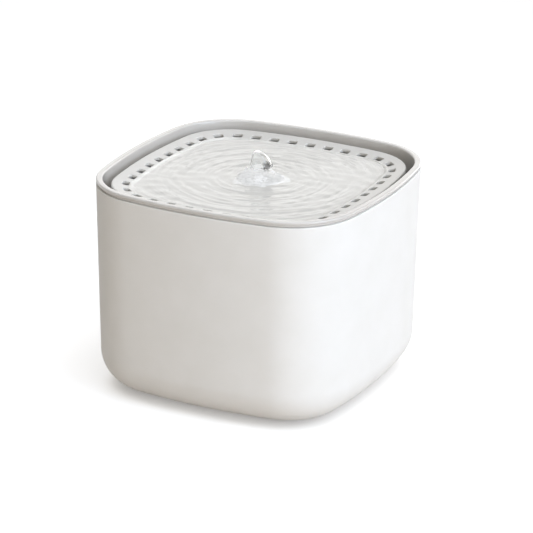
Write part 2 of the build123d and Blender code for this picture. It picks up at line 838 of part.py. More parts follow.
with BuildPart() as filter_well:
    with BuildSketch(Plane.XY.offset(well_bottom)):
        add(rounded_square(well_half_width))
    extrude(amount=well_depth + basin_wall)
    with BuildSketch(Plane.XY.offset(well_bottom + basin_wall)):
        add(rounded_square(well_half_width - basin_wall))
    extrude(amount=well_depth, mode=Mode.SUBTRACT)
    add(grille(well_bottom, basin_wall), mode=Mode.SUBTRACT)
    # tube that the riser passes through
    with BuildSketch(Plane.XY.offset(well_bottom)):
        Circle(basin_tube_radius)
    extrude(amount=flange_top - well_bottom)
    with BuildSketch(Plane.XY.offset(well_bottom)):
        Circle(basin_tube_inner_radius)
    extrude(amount=flange_top - well_bottom, mode=Mode.SUBTRACT)

filter_well.part.label = "filter_well"
export_step(filter_well.part, "parts/filter_well.step")

# ======== filter cartridge ========
cartridge_bottom = well_bottom + basin_wall
cartridge_top = cartridge_bottom + cartridge_height
cartridge_half_width = well_half_width - basin_wall - cartridge_clearance
case_tube_inner_radius = basin_tube_radius + cartridge_clearance
case_tube_outer_radius = case_tube_inner_radius + cartridge_wall
media_half_width = cartridge_half_width - cartridge_wall - media_gap
media_hole_radius = case_tube_outer_radius + media_gap
resin_bottom = cartridge_bottom + cartridge_wall
carbon_bottom = resin_bottom + resin_depth
cotton_bottom = carbon_bottom + carbon_depth
lid_bottom = cartridge_top - cartridge_lid_thickness

with BuildPart() as cartridge_case:
    with BuildSketch(Plane.XY.offset(cartridge_bottom)):
        add(rounded_square(cartridge_half_width))
    extrude(amount=cartridge_height)
    with BuildSketch(Plane.XY.offset(resin_bottom)):
        add(rounded_square(cartridge_half_width - cartridge_wall))
        Circle(case_tube_outer_radius, mode=Mode.SUBTRACT)
    extrude(amount=cartridge_height, mode=Mode.SUBTRACT)
    with BuildSketch(Plane.XY.offset(cartridge_bottom)):
        Circle(case_tube_inner_radius)
    extrude(amount=cartridge_height, mode=Mode.SUBTRACT)
    add(grille(cartridge_bottom, cartridge_wall), mode=Mode.SUBTRACT)

cartridge_case.part.label = "cartridge_case"
export_step(cartridge_case.part, "parts/cartridge_case.step")

with BuildPart() as resin_bed:
    with BuildSketch(Plane.XY.offset(resin_bottom)):
        add(rounded_square(media_half_width))
        Circle(media_hole_radius, mode=Mode.SUBTRACT)
    extrude(amount=resin_depth)

resin_bed.part.label = "resin_bed"
export_step(resin_bed.part, "parts/resin_bed.step")

with BuildPart() as carbon_bed:
    with BuildSketch(Plane.XY.offset(carbon_bottom)):
        add(rounded_square(media_half_width))
        Circle(media_hole_radius, mode=Mode.SUBTRACT)
    extrude(amount=carbon_depth)

carbon_bed.part.label = "carbon_bed"
export_step(carbon_bed.part, "parts/carbon_bed.step")

with BuildPart() as cotton_pad:
    with BuildSketch(Plane.XY.offset(cotton_bottom)):
        add(rounded_square(media_half_width))
        Circle(media_hole_radius, mode=Mode.SUBTRACT)
    extrude(amount=lid_bottom - cotton_bottom)

cotton_pad.part.label = "cotton_pad"
export_step(cotton_pad.part, "parts/cotton_pad.step")

with BuildPart() as cartridge_lid:
    with BuildSketch(Plane.XY.offset(lid_bottom)):
        add(rounded_square(cartridge_half_width - cartridge_wall - fit_gap))
        Circle(case_tube_outer_radius + fit_gap, mode=Mode.SUBTRACT)
    extrude(amount=cartridge_lid_thickness)
    add(grille(lid_bottom, cartridge_lid_thickness), mode=Mode.SUBTRACT)

cartridge_lid.part.label = "cartridge_lid"
export_step(cartridge_lid.part, "parts/cartridge_lid.step")

# ======== drinking tray ========
tray_top = rim_height - tray_drop
border_top_half_width = tray_half_width - tray_land
border_foot_half_width = border_top_half_width - border_width
border_foot = tray_top - border_fall
tray_floor_top = border_foot - floor_step
border_angle = degrees(atan2(border_width, border_fall))


def tray_hollow(drop):
    """The dish in the tray's top, lowered by a drop: floor, 45 degree step, sloping border."""
    with BuildPart() as dish:
        with BuildSketch(Plane.XY.offset(tray_floor_top - drop)):
            add(rounded_square(border_foot_half_width - floor_step))
        extrude(amount=floor_step, taper=-45)
        with BuildSketch(Plane.XY.offset(border_foot - drop)):
            add(rounded_square(border_foot_half_width))
        extrude(amount=border_fall, taper=-border_angle)
        with BuildSketch(Plane.XY.offset(tray_top - drop)):
            add(rounded_square(border_top_half_width))
        extrude(amount=drop + tray_wall)
    return dish.part


slot_half_width = rim_half_width - slot_inset
half_side_length = radians(90 - corner_angle) * (slot_half_width + side_centre)
corner_length = radians(2 * corner_angle - 90) * (slot_half_width - corner_shrink)
side_length = 2 * half_side_length + corner_length


def slot_place(distance):
    """Point and heading on the slots' outline, a distance on from the middle of the +X side."""
    if distance <= half_side_length:
        centre, radius = (-side_centre, 0), slot_half_width + side_centre
        angle = degrees(distance / radius)
    elif distance <= half_side_length + corner_length:
        centre, radius = (corner_centre, corner_centre), slot_half_width - corner_shrink
        angle = 90 - corner_angle + degrees((distance - half_side_length) / radius)
    else:
        centre, radius = (0, -side_centre), slot_half_width + side_centre
        angle = 90 - degrees((side_length - distance) / radius)
    x = centre[0] + radius * cos(radians(angle))
    y = centre[1] + radius * sin(radians(angle))
    return Location((x, y, 0), (0, 0, angle))


with BuildPart() as tray_block:
    with BuildSketch(Plane.XY.offset(flange_top)):
        add(rounded_square(tray_half_width))
    extrude(amount=tray_top - flange_top)
    chamfer(tray_block.faces().sort_by(Axis.Z)[-1].edges(), tray_edge)

with BuildPart() as tray_skirt:
    add(tray_block.part)
    with BuildSketch(Plane.XY.offset(flange_top)):
        add(rounded_square(tray_half_width - tray_wall))
    extrude(amount=tray_top - flange_top, mode=Mode.SUBTRACT)

hub_inner_radius = nozzle_spigot_radius + fit_gap
hub_bottom = tray_floor_top - hub_depth

with BuildPart() as drinking_tray:
    add(tray_block.part)
    add(tray_hollow(tray_thickness), mode=Mode.INTERSECT)
    add(tray_skirt.part)
    add(tray_hollow(0), mode=Mode.SUBTRACT)
    # drain slots round the border
    with BuildSketch(Plane.XY.offset(flange_top)) as drain_slots:
        for step in range(slots_per_side):
            with PolarLocations(0, 4):
                with Locations(slot_place(step * side_length / slots_per_side)):
                    Rectangle(slot_width, slot_length)
        chamfer(drain_slots.vertices(), slot_corner)
    extrude(amount=tray_top - flange_top, mode=Mode.SUBTRACT)
    # hub for the spout
    with BuildSketch(Plane.XY.offset(hub_bottom)):
        Circle(hub_inner_radius + hub_wall)
    extrude(amount=hub_depth)
    with BuildSketch(Plane.XY.offset(hub_bottom)):
        Circle(hub_inner_radius)
    extrude(amount=hub_depth, mode=Mode.SUBTRACT)

drinking_tray.part.label = "drinking_tray"
export_step(drinking_tray.part, "parts/drinking_tray.step")

# ======== spout ========
nozzle_top = tray_floor_top + nozzle_flange_thickness

with BuildPart() as spout_nozzle:
    with BuildSketch(Plane.XZ):
        with BuildLine():
            Polyline(
                (nozzle_throat_radius, nozzle_top),
                (nozzle_flange_radius - nozzle_flange_thickness, nozzle_top),
                (nozzle_flange_radius, tray_floor_top),
                (nozzle_spigot_radius, tray_floor_top),
                (nozzle_spigot_radius, nozzle_bottom),
                (socket_inner_radius, nozzle_bottom),
                (socket_inner_radius, nozzle_seat),
                (riser_inner_radius, nozzle_seat),
                (nozzle_throat_radius, nozzle_top - nozzle_flange_thickness),
                close=True,
            )
        make_face()
    revolve(axis=Axis.Z)

spout_nozzle.part.label = "spout_nozzle"
export_step(spout_nozzle.part, "parts/spout_nozzle.step")

with BuildPart() as spout_seal:
    with BuildSketch(Plane.XY.offset(nozzle_bottom)):
        Circle(socket_inner_radius - seal_play)
        Circle(riser_outer_radius + seal_play, mode=Mode.SUBTRACT)
    extrude(amount=spout_seal_height)

spout_seal.part.label = "spout_seal"
export_step(spout_seal.part, "parts/spout_seal.step")

# ======== water on the tray ========
water_level = tray_floor_top + water_depth
bubble_foot = water_level + mound_height
bubble_top = water_level + bubble_height
bubble_neck = bubble_top - bubble_top_radius

with BuildPart() as water_surface:
    add(tray_hollow(0))
    split(bisect_by=Plane.XY.offset(water_level), keep=Keep.BOTTOM)
    with BuildSketch(Plane.XY.offset(tray_floor_top)):
        Circle(nozzle_flange_radius + fit_gap)
    extrude(amount=nozzle_flange_thickness + fit_gap, mode=Mode.SUBTRACT)
    # ripples, turned about the spout
    for ripple_radius in ripple_radii:
        with BuildSketch(Plane.XZ):
            with BuildLine():
                Polyline(
                    (ripple_radius - ripple_half_width, water_level),
                    (ripple_radius, water_level + ripple_height),
                    (ripple_radius + ripple_half_width, water_level),
                    close=True,
                )
            make_face()
        revolve(axis=Axis.Z)
    # hollow-flanked mound with the bubble on it
    with BuildSketch(Plane.XZ):
        with BuildLine():
            TangentArc(
                (mound_radius, water_level), (bubble_base_radius, bubble_foot), tangent=(-1, 0)
            )
            Line((bubble_base_radius, bubble_foot), (bubble_top_radius, bubble_neck))
            CenterArc((0, bubble_neck), bubble_top_radius, 0, 90)
            Polyline((0, bubble_top), (0, water_level), (mound_radius, water_level))
        make_face()
    revolve(axis=Axis.Z)

water_surface.part.label = "water_surface"
export_step(water_surface.part, "parts/water_surface.step")
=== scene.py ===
"""Square pet water fountain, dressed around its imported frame. Metres, +Z up, front towards -Y."""

import math

import bmesh
import bpy
import numpy as np
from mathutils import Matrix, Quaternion, Vector


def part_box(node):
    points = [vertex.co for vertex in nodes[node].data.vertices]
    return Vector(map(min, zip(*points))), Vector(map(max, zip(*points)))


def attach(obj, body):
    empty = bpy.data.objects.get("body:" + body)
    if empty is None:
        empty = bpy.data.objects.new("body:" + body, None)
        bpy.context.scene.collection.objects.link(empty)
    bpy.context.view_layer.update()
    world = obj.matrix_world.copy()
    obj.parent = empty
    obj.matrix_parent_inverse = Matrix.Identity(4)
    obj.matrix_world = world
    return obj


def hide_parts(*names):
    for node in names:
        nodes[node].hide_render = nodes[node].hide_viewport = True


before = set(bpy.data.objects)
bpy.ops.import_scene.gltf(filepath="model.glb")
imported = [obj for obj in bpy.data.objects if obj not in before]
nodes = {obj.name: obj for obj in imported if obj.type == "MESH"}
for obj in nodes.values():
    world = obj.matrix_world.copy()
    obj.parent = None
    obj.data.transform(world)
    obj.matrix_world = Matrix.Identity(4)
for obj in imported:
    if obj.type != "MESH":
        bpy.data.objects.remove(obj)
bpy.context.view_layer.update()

MM = 0.001

# ======== sizes: read from the frame, or named here where the frame doesn't say ========
casing_low, casing_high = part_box("outer_shell")
tank_low, tank_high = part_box("water_tank")
tray_low, tray_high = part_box("drinking_tray")
socket_low, socket_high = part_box("power_socket")
cover_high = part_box("base_cover")[1]
gasket_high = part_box("base_gasket")[1]
screws_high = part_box("base_screws")[1]
base_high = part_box("pump_base")[1]
nozzle_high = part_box("spout_nozzle")[1]
water_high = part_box("water_surface")[1]

rim_half_width = tank_high.x
rim_height = tank_high.z
SIDE_RADIUS = 360 * MM
CORNER_RADIUS = 48 * MM
DRAFT = math.radians(1.126)

side_centre = SIDE_RADIUS - rim_half_width
corner_shrink = rim_half_width - CORNER_RADIUS
centre_distance = SIDE_RADIUS - CORNER_RADIUS
corner_centre = (math.sqrt(2 * centre_distance**2 - side_centre**2) - side_centre) / 2
corner_angle = math.atan2(corner_centre + side_centre, corner_centre)


# ======== shapes as arrays ========
def headings(angle):
    """Unit directions of angles: (cos, sin)."""
    return np.stack([np.cos(angle), np.sin(angle)], -1)


def full_turn(count):
    """Angles evenly spaced round a circle."""
    return np.arange(count) * 2 * math.pi / count


def lifted(flat, height):
    """Points (x, y, z) of flat ones (x, y) and their heights."""
    return np.concatenate([flat, np.broadcast_to(height, flat.shape[:-1])[..., None]], -1)


def outline(distance, half_width):
    """Points and outward directions on the bowed square, four side arcs and four corner arcs, all
    tangent. A distance runs anticlockwise along the outline from the middle of the +X side: half a
    side at its radius, a corner at its radius and half the next side, four times over."""
    side_reach = half_width + side_centre
    corner_reach = half_width - corner_shrink
    half_side = (math.pi / 2 - corner_angle) * side_reach
    corner = (2 * corner_angle - math.pi / 2) * corner_reach
    quarter = 2 * half_side + corner
    turn = np.floor(distance / quarter)
    along = distance - turn * quarter
    first = along < half_side
    last = along > half_side + corner
    angle = np.where(
        first,
        along / side_reach,
        math.pi / 2 - corner_angle + (along - half_side) / corner_reach,
    )
    angle = np.where(last, math.pi / 2 - (quarter - along) / side_reach, angle)
    reach = np.where(first | last, side_reach, corner_reach)
    x = np.where(first, -side_centre, np.where(last, 0, corner_centre)) + reach * np.cos(angle)
    y = np.where(last, -side_centre, np.where(first, 0, corner_centre)) + reach * np.sin(angle)
    spin = turn * math.pi / 2
    points = np.stack(
        [x * np.cos(spin) - y * np.sin(spin), x * np.sin(spin) + y * np.cos(spin)], -1
    )
    return points, headings(angle + spin)


def outline_length(half_width):
    """Length of the bowed square: its four sides' arcs and four corners' arcs added up."""
    side = (math.pi - 2 * corner_angle) * (half_width + side_centre)
    return 4 * (side + (2 * corner_angle - math.pi / 2) * (half_width - corner_shrink))


def square_loop(count, half_width, start=0.0):
    """Stations evenly spaced on the bowed square of a half width: (origin, outward direction), so
    that origin + outward * half width is the outline of any other half width."""
    distance = start + np.arange(count) * outline_length(half_width) / count
    points, outward = outline(distance, half_width)
    return points - outward * half_width, outward


def round_loop(count, centre=(0.0, 0.0)):
    """Stations evenly spaced round a circle: (centre, outward direction)."""
    return np.array(centre), headings(full_turn(count))


def carry(profile, loop):
    """Grid of points: each profile point (reach, height) carried round the loop's stations, at
    origin + outward * reach."""
    origin, outward = loop
    profile = np.asarray(profile)
    return lifted(origin + outward * profile[:, None, :1], profile[:, 1:])


def arc(centre, radius, start, end, steps):
    """Points of a profile's arc: centre + radius * (cos, sin) of angles from start to end degrees."""
    return np.array(centre) + radius * headings(np.radians(np.linspace(start, end, steps + 1)))


def run(*pieces):
    """Points and arcs of a profile, one after the other, as one array."""
    return np.concatenate([np.atleast_2d(np.asarray(piece, float)) for piece in pieces])


def smoothed(data, sharp):
    """The mesh shaded smooth, with its edges sharp past an angle in degrees."""
    data.polygons.foreach_set("use_smooth", [True] * len(data.polygons))
    data.set_sharp_from_angle(angle=math.radians(sharp))
    return data


class Form:
    """Grids of points with their faces, collected and then made into one closed mesh."""

    def __init__(self):
        self.points, self.faces, self.total = [], [], 0

    def grid(self, points, wrap_rows=False, wrap_columns=True, caps=(False, False), ends=False):
        """Adds a grid of points and the quads between its neighbours. A wrapped direction joins its
        last line to its first. A cap closes the first or last row with one flat face, and ends
        close the first and last column."""
        rows, columns = points.shape[:2]
        row = np.arange(rows if wrap_rows else rows - 1)[:, None]
        column = np.arange(columns if wrap_columns else columns - 1)[None, :]
        next_row, next_column = (row + 1) % rows, (column + 1) % columns
        corners = [
            row * columns + column,
            row * columns + next_column,
            next_row * columns + next_column,
            next_row * columns + column,
        ]
        quads = np.stack(corners, -1).reshape(-1, 4) + self.total
        self.faces.extend(quads.tolist())
        first_row = np.arange(columns) + self.total
        if caps[0]:
            self.faces.append(first_row[::-1].tolist())
        if caps[1]:
            self.faces.append((first_row + (rows - 1) * columns).tolist())
        if ends:
            first_column = np.arange(rows) * columns + self.total
            self.faces.append(first_column.tolist())
            self.faces.append((first_column + columns - 1)[::-1].tolist())
        self.points.append(points.reshape(-1, 3))
        self.total += rows * columns
        return self

    def mesh(self, name, sharp=32.0):
        """The collected grids as one mesh: seams merged, faces outwards, edges sharp past an angle."""
        data = bpy.data.meshes.new(name)
        data.from_pydata(np.concatenate(self.points), [], self.faces)
        shape = bmesh.new()
        shape.from_mesh(data)
        bmesh.ops.remove_doubles(shape, verts=shape.verts, dist=MM / 500)
        bmesh.ops.dissolve_degenerate(shape, edges=shape.edges, dist=MM / 1000)
        bmesh.ops.recalc_face_normals(shape, faces=shape.faces)
        shape.to_mesh(data)
        shape.free()
        return smoothed(data, sharp)


def joined(data, other):
    """The first mesh with the faces of the other added to it."""
    whole = bmesh.new()
    whole.from_mesh(data)
    whole.from_mesh(other)
    whole.to_mesh(data)
    whole.free()
    return data


def new_object(name, data):
    """An object of a mesh, camera or lamp, linked into the scene."""
    shown = bpy.data.objects.new(name, data)
    bpy.context.scene.collection.objects.link(shown)
    return shown


def cut(target, tool, operation):
    """Mesh that an exact Boolean of two meshes leaves: DIFFERENCE, UNION or INTERSECT."""
    shapes = [new_object("cut", data) for data in (target, tool)]
    boolean = shapes[0].modifiers.new("cut", "BOOLEAN")
    boolean.operation = operation
    boolean.solver = "EXACT"
    boolean.object = shapes[1]
    graph = bpy.context.evaluated_depsgraph_get()
    result = bpy.data.meshes.new_from_object(shapes[0].evaluated_get(graph))
    for shape in shapes:
        bpy.data.objects.remove(shape)
    return result


def piece(name, data, finish, body, slot, replaced=()):
    """An object of a mesh, with its finish, its body and the nodes that it stands for. The slot is not
    used.
    """
    shown = new_object(name, data)
    data.materials.append(finish)
    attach(shown, body)
    if replaced:
        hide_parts(*replaced)


# ======== shader nodes ========
def linear(hex_colour):
    """Linear colour of an sRGB hex value: each channel through the sRGB curve."""
    channels = [int(hex_colour[place : place + 2], 16) / 255 for place in (0, 2, 4)]
    return [
        value / 12.92 if value <= 0.04045 else ((value + 0.055) / 1.055) ** 2.4 for value in channels
    ] + [1.0]


def add(tree, kind, inputs=None, **settings):
    """A shader node of a kind, with its settings, its socket values and its links."""
    node = tree.nodes.new("ShaderNode" + kind)
    for name, value in settings.items():
        setattr(node, name, value)
    for name, value in (inputs or {}).items():
        if isinstance(value, bpy.types.NodeSocket):
            tree.links.new(value, node.inputs[name])
        else:
            node.inputs[name].default_value = value
    return node


def reckon(tree, operation, *values):
    """Result of one sum, such as MAXIMUM, on values or sockets."""
    return add(tree, "Math", dict(enumerate(values)), operation=operation).outputs["Value"]


def reckon_vector(tree, operation, *values, result="Vector"):
    """Result of one vector sum, such as LENGTH, on vectors or sockets."""
    inputs = dict(enumerate(values))
    return add(tree, "VectorMath", inputs, operation=operation).outputs[result]


def ranged(tree, value, low, high, start=0.0, end=1.0):
    """From start, where a value is low or less, evenly to end, where it is high or more."""
    inputs = {"Value": value, "From Min": low, "From Max": high, "To Min": start, "To Max": end}
    return add(tree, "MapRange", inputs).outputs["Result"]


def noise(tree, place, size_mm, detail, roughness=0.5, distortion=0.0):
    """Noise over spots of a size."""
    inputs = {
        "Vector": place,
        "Scale": 1 / (size_mm * MM),
        "Detail": detail,
        "Roughness": roughness,
        "Distortion": distortion,
    }
    return add(tree, "TexNoise", inputs).outputs["Fac"]


def height_of(tree, place):
    """Z of a place."""
    return add(tree, "SeparateXYZ", {"Vector": place}).outputs["Z"]


def bumped(tree, height, depth_mm, strength=1.0):
    """Normal of a bump that stands a depth high where its height is 1."""
    inputs = {"Height": height, "Distance": depth_mm * MM, "Strength": strength}
    return add(tree, "Bump", inputs).outputs["Normal"]


def shaded(tree, share, dark, light, low=0.0, high=1.0):
    """Colour between two hex colours: dark up to a low share, and light from a high share on."""
    ramp = add(tree, "ValToRGB", {"Fac": share})
    first, last = ramp.color_ramp.elements
    first.position, last.position = low, high
    first.color, last.color = linear(dark), linear(light)
    return ramp.outputs["Color"]


def mixed_colour(tree, share, first, second):
    """Colour a share of the way from the first to the second."""
    inputs = {"Factor": share, "A": first, "B": second}
    return add(tree, "Mix", inputs, data_type="RGBA").outputs["Result"]


def mixed_shader(tree, share, first, second):
    """Shader a share of the way from the first to the second."""
    return add(tree, "MixShader", {0: share, 1: first, 2: second}).outputs["Shader"]


def shown_to(tree, *kinds):
    """1 for a ray of one of the kinds, such as Is Camera Ray, and 0 for all others."""
    ray = add(tree, "LightPath")
    share = ray.outputs[kinds[0]]
    for kind in kinds[1:]:
        share = reckon(tree, "MAXIMUM", share, ray.outputs[kind])
    return share


def finish_tree(name):
    """A new material, its empty node tree and the object's own coordinates in it."""
    finish = bpy.data.materials.new(name)
    finish.use_nodes = True
    tree = finish.node_tree
    tree.nodes.clear()
    return finish, tree, add(tree, "TexCoord").outputs["Object"]


def surfaced(finish, inputs):
    """The material with a principled surface of the inputs as its output."""
    tree = finish.node_tree
    shader = add(tree, "BsdfPrincipled", inputs)
    add(tree, "OutputMaterial", {"Surface": shader.outputs["BSDF"]})
    return finish


# ======== finishes ========
def moulded(name, light, dark, roughness, grain_mm, grain_depth_mm, coat=0.0, specular=0.5):
    """Moulded thermoplastic: one colour with a faint drift, and the tool's grain as a bump."""
    finish, tree, place = finish_tree(name)
    drift = noise(tree, place, 22.0, 3.0, 0.55)
    grain = noise(tree, place, grain_mm, 2.0)
    inputs = {
        "Base Color": shaded(tree, drift, dark, light, 0.25, 0.75),
        "Roughness": ranged(tree, grain, 0.35, 0.65, roughness * 0.93, roughness * 1.07),
        "Normal": bumped(tree, grain, grain_depth_mm),
        "IOR": 1.53,
        "Coat Weight": coat,
        "Coat Roughness": 0.12,
        "Specular IOR Level": specular,
    }
    return surfaced(finish, inputs)


# Casing: ABS from a spark-eroded tool, a dry matt white. The real grain of 0.1 mm is drawn at 0.5 mm.
casing_abs = moulded("matt_moulded_abs_white", "F5F5F4", "F1F1EF", 0.55, 0.5, 0.012)
# Tank: ABS from a polished tool, warm grey with a clear gloss and a faint orange peel.
tank_abs = moulded("polished_moulded_abs_grey", "D6D3CF", "D2CFCB", 0.2, 6.0, 0.01, coat=0.5)
# Tray: ABS from a satin tool, nearly white.
tray_abs = moulded("satin_moulded_abs_pale", "E1DFDA", "DCDAD5", 0.34, 1.2, 0.008)
# Nozzle and cartridge: polypropylene, a softer white with a waxy sheen.
white_pp = moulded("moulded_polypropylene_white", "E9EAE8", "E2E3E1", 0.42, 1.0, 0.01)
# Filter basin: natural polypropylene, cool grey, with the flow marks of a thin moulding.
basin_pp = moulded("moulded_polypropylene_natural", "C6CACC", "BCC0C3", 0.38, 9.0, 0.03)
# Pump: ABS, slightly cool, satin.
pump_abs = moulded("satin_moulded_abs_cool_white", "E2E4E7", "DCDEE1", 0.4, 0.8, 0.008)
# Seals: moulded silicone rubber, milky, with a dull bloom.
silicone = moulded("moulded_silicone_milky", "D6D5D1", "CBCAC6", 0.5, 0.9, 0.02, specular=0.35)
# Feet and bushes: black nitrile rubber, matt, a little dusty.
rubber = moulded("moulded_nitrile_rubber_black", "2B2B2C", "212122", 0.7, 0.7, 0.03, specular=0.35)
# Power inlet: black nylon, even satin.
nylon = moulded("moulded_nylon_black", "1F1F21", "1A1A1B", 0.42, 0.8, 0.01)
# Impeller: acetal, dense and slippery, blue so that it is seen when the pump is cleaned.
acetal = moulded("moulded_acetal_blue", "5F81A8", "577AA2", 0.3, 1.6, 0.01)
# Shaft: ground alumina, off-white and glossy.
ceramic = moulded("ground_alumina_ceramic", "EDEBE4", "E6E4DC", 0.12, 0.4, 0.002, coat=0.4)

# lines to the metre of a wave texture at a scale of 1: 20 / (2 pi)
WAVE_LINES = 3.1831


def ringed(name, light, dark, pitch_mm, depth_mm, roughness, rings=True):
    """Metal with fine lines at a pitch: turned or wound rings about Z, or flat layers, as a sine
    across the lines that mixes two colours and stands as a bump."""
    finish, tree, place = finish_tree(name)
    scale = 1 / (pitch_mm * MM) / WAVE_LINES
    lines = add(
        tree,
        "TexWave",
        {"Vector": place, "Scale": scale, "Distortion": 0.4, "Detail": 1.0},
        wave_type="RINGS" if rings else "BANDS",
        wave_profile="SIN",
        rings_direction="Z",
        bands_direction="Z",
    ).outputs["Fac"]
    inputs = {
        "Base Color": shaded(tree, lines, dark, light),
        "Roughness": roughness,
        "Metallic": 1.0,
        "Normal": bumped(tree, lines, depth_mm),
    }
    return surfaced(finish, inputs)


# Screws: stainless steel, turned. The tool's marks of 0.05 mm are drawn at 0.4 mm.
screw_steel = ringed("turned_stainless_steel", "B4B5B6", "9C9D9F", 0.4, 0.01, 0.3)
# Flat coils: enamelled copper wire of 0.8 mm, wound in a spiral.
flat_coil = ringed("wound_enamelled_copper_flat", "C9803F", "6E3F1E", 0.8, 0.2, 0.32)
# Windings on the poles: enamelled wire of 0.4 mm, in layers. Drawn at 0.8 mm.
wound_copper = ringed(
    "wound_enamelled_copper_layers", "C07538", "66391B", 0.8, 0.15, 0.35, rings=False
)
# Core: a stack of silicon steel sheets of 0.5 mm. Drawn at 1 mm.
core_sheet = ringed("stacked_silicon_steel", "9A9CA0", "54565A", 1.0, 0.06, 0.45, rings=False)


def granular(name, light, dark, grain_mm, depth_mm, roughness, coat=0.0, fibres=0.0):
    """A bed of grains: Voronoi cells of a size, each with its own shade between two colours, rounded
    by their distance to the cell's middle as a bump. Fibres mix a stretched noise over them."""
    finish, tree, place = finish_tree(name)
    cells = add(tree, "TexVoronoi", {"Vector": place, "Scale": 1 / (grain_mm * MM)})
    shade = add(tree, "SeparateColor", {"Color": cells.outputs["Color"]})
    rounded = reckon(tree, "SUBTRACT", 1.0, cells.outputs["Distance"])
    threads = noise(tree, place, 0.6 * grain_mm, 5.0, distortion=2.5)
    height = add(tree, "Mix", {"Factor": fibres, "A": rounded, "B": threads})
    inputs = {
        "Base Color": shaded(tree, shade.outputs["Red"], dark, light),
        "Roughness": roughness,
        "Coat Weight": coat,
        "Normal": bumped(tree, height.outputs["Result"], depth_mm),
    }
    return surfaced(finish, inputs)


# Foam round the intake: open-cell polyurethane, about 12 cells to the centimetre.
foam = granular("open_cell_polyurethane_dark", "3A3A3D", "161618", 0.9, 0.5, 0.95)
# Filter media: softening resin in amber beads, granular carbon, and felted cotton on top.
resin_beads = granular("ion_exchange_resin_beads", "C98B3E", "8E551D", 0.8, 0.4, 0.3, coat=0.5)
carbon_grains = granular("granular_activated_carbon", "2A2A2B", "0C0C0D", 1.4, 0.7, 0.75)
cotton = granular("needled_cotton_felt", "F0EFEB", "DEDDD8", 1.1, 0.35, 0.95, fibres=0.85)
# Ferrite and magnet: sintered, nearly black, a dull grey speckle.
ferrite = granular("sintered_ferrite_dark", "343437", "232326", 0.5, 0.03, 0.6)
# Water full of fine air where it leaves the spout: milky froth, its cells drawn at 1.7 mm.
aerated_water = granular("aerated_water", "FCFBF9", "E1E0DD", 1.7, 0.1, 0.3, fibres=0.7)


def board_finish():
    """Circuit board: green solder resist over copper tracks, drawn as bricks of two pitches, with
    black moulded parts below the board."""
    finish, tree, place = finish_tree("solder_resist_green_on_laminate")
    bricks = {
        "Vector": place,
        "Scale": 1 / (4.2 * MM),
        "Mortar Size": 0.06,
        "Color1": linear("1E5634"),
        "Color2": linear("1A4D2E"),
        "Mortar": linear("3C7A4E"),
    }
    tracks = add(tree, "TexBrick", bricks).outputs["Color"]
    below = reckon(tree, "LESS_THAN", height_of(tree, place), socket_high.z - 0.1 * MM)
    colour = mixed_colour(tree, below, tracks, linear("1B1B1C"))
    return surfaced(finish, {"Base Color": colour, "Roughness": 0.38, "Coat Weight": 0.25})


board_laminate = board_finish()

# Chop: waves of 2.4 mm across that run on for a quarter of a radian or so.
ARC_WAVE = 2.4 * MM
ARC_SWEEP = 3.2
CHOP_DEPTH_MM = 0.2
CHOP_START = 12 * MM
CHOP_FULL = 22 * MM
# Painted shade: below its top, the bubble's skin is painted grey where it is seen edge on, a painted
# dark outline that stands in for refraction.
PAINTED_EDGE_START = 13 * MM
PAINTED_EDGE_FULL = 10 * MM
# Painted shade at one side of the bubble's foot, a dark patch in the water's colour that stands in for
# dark refraction: its middle, where it fades, and how noise frays it.
PAINTED_DARK_PLACE = Vector((6.1, -2.6, 147.9)) * MM
PAINTED_DARK_NEAR = 5.9 * MM
PAINTED_DARK_FAR = 7.6 * MM
PAINTED_DARK_FRAY = 8.0 * MM


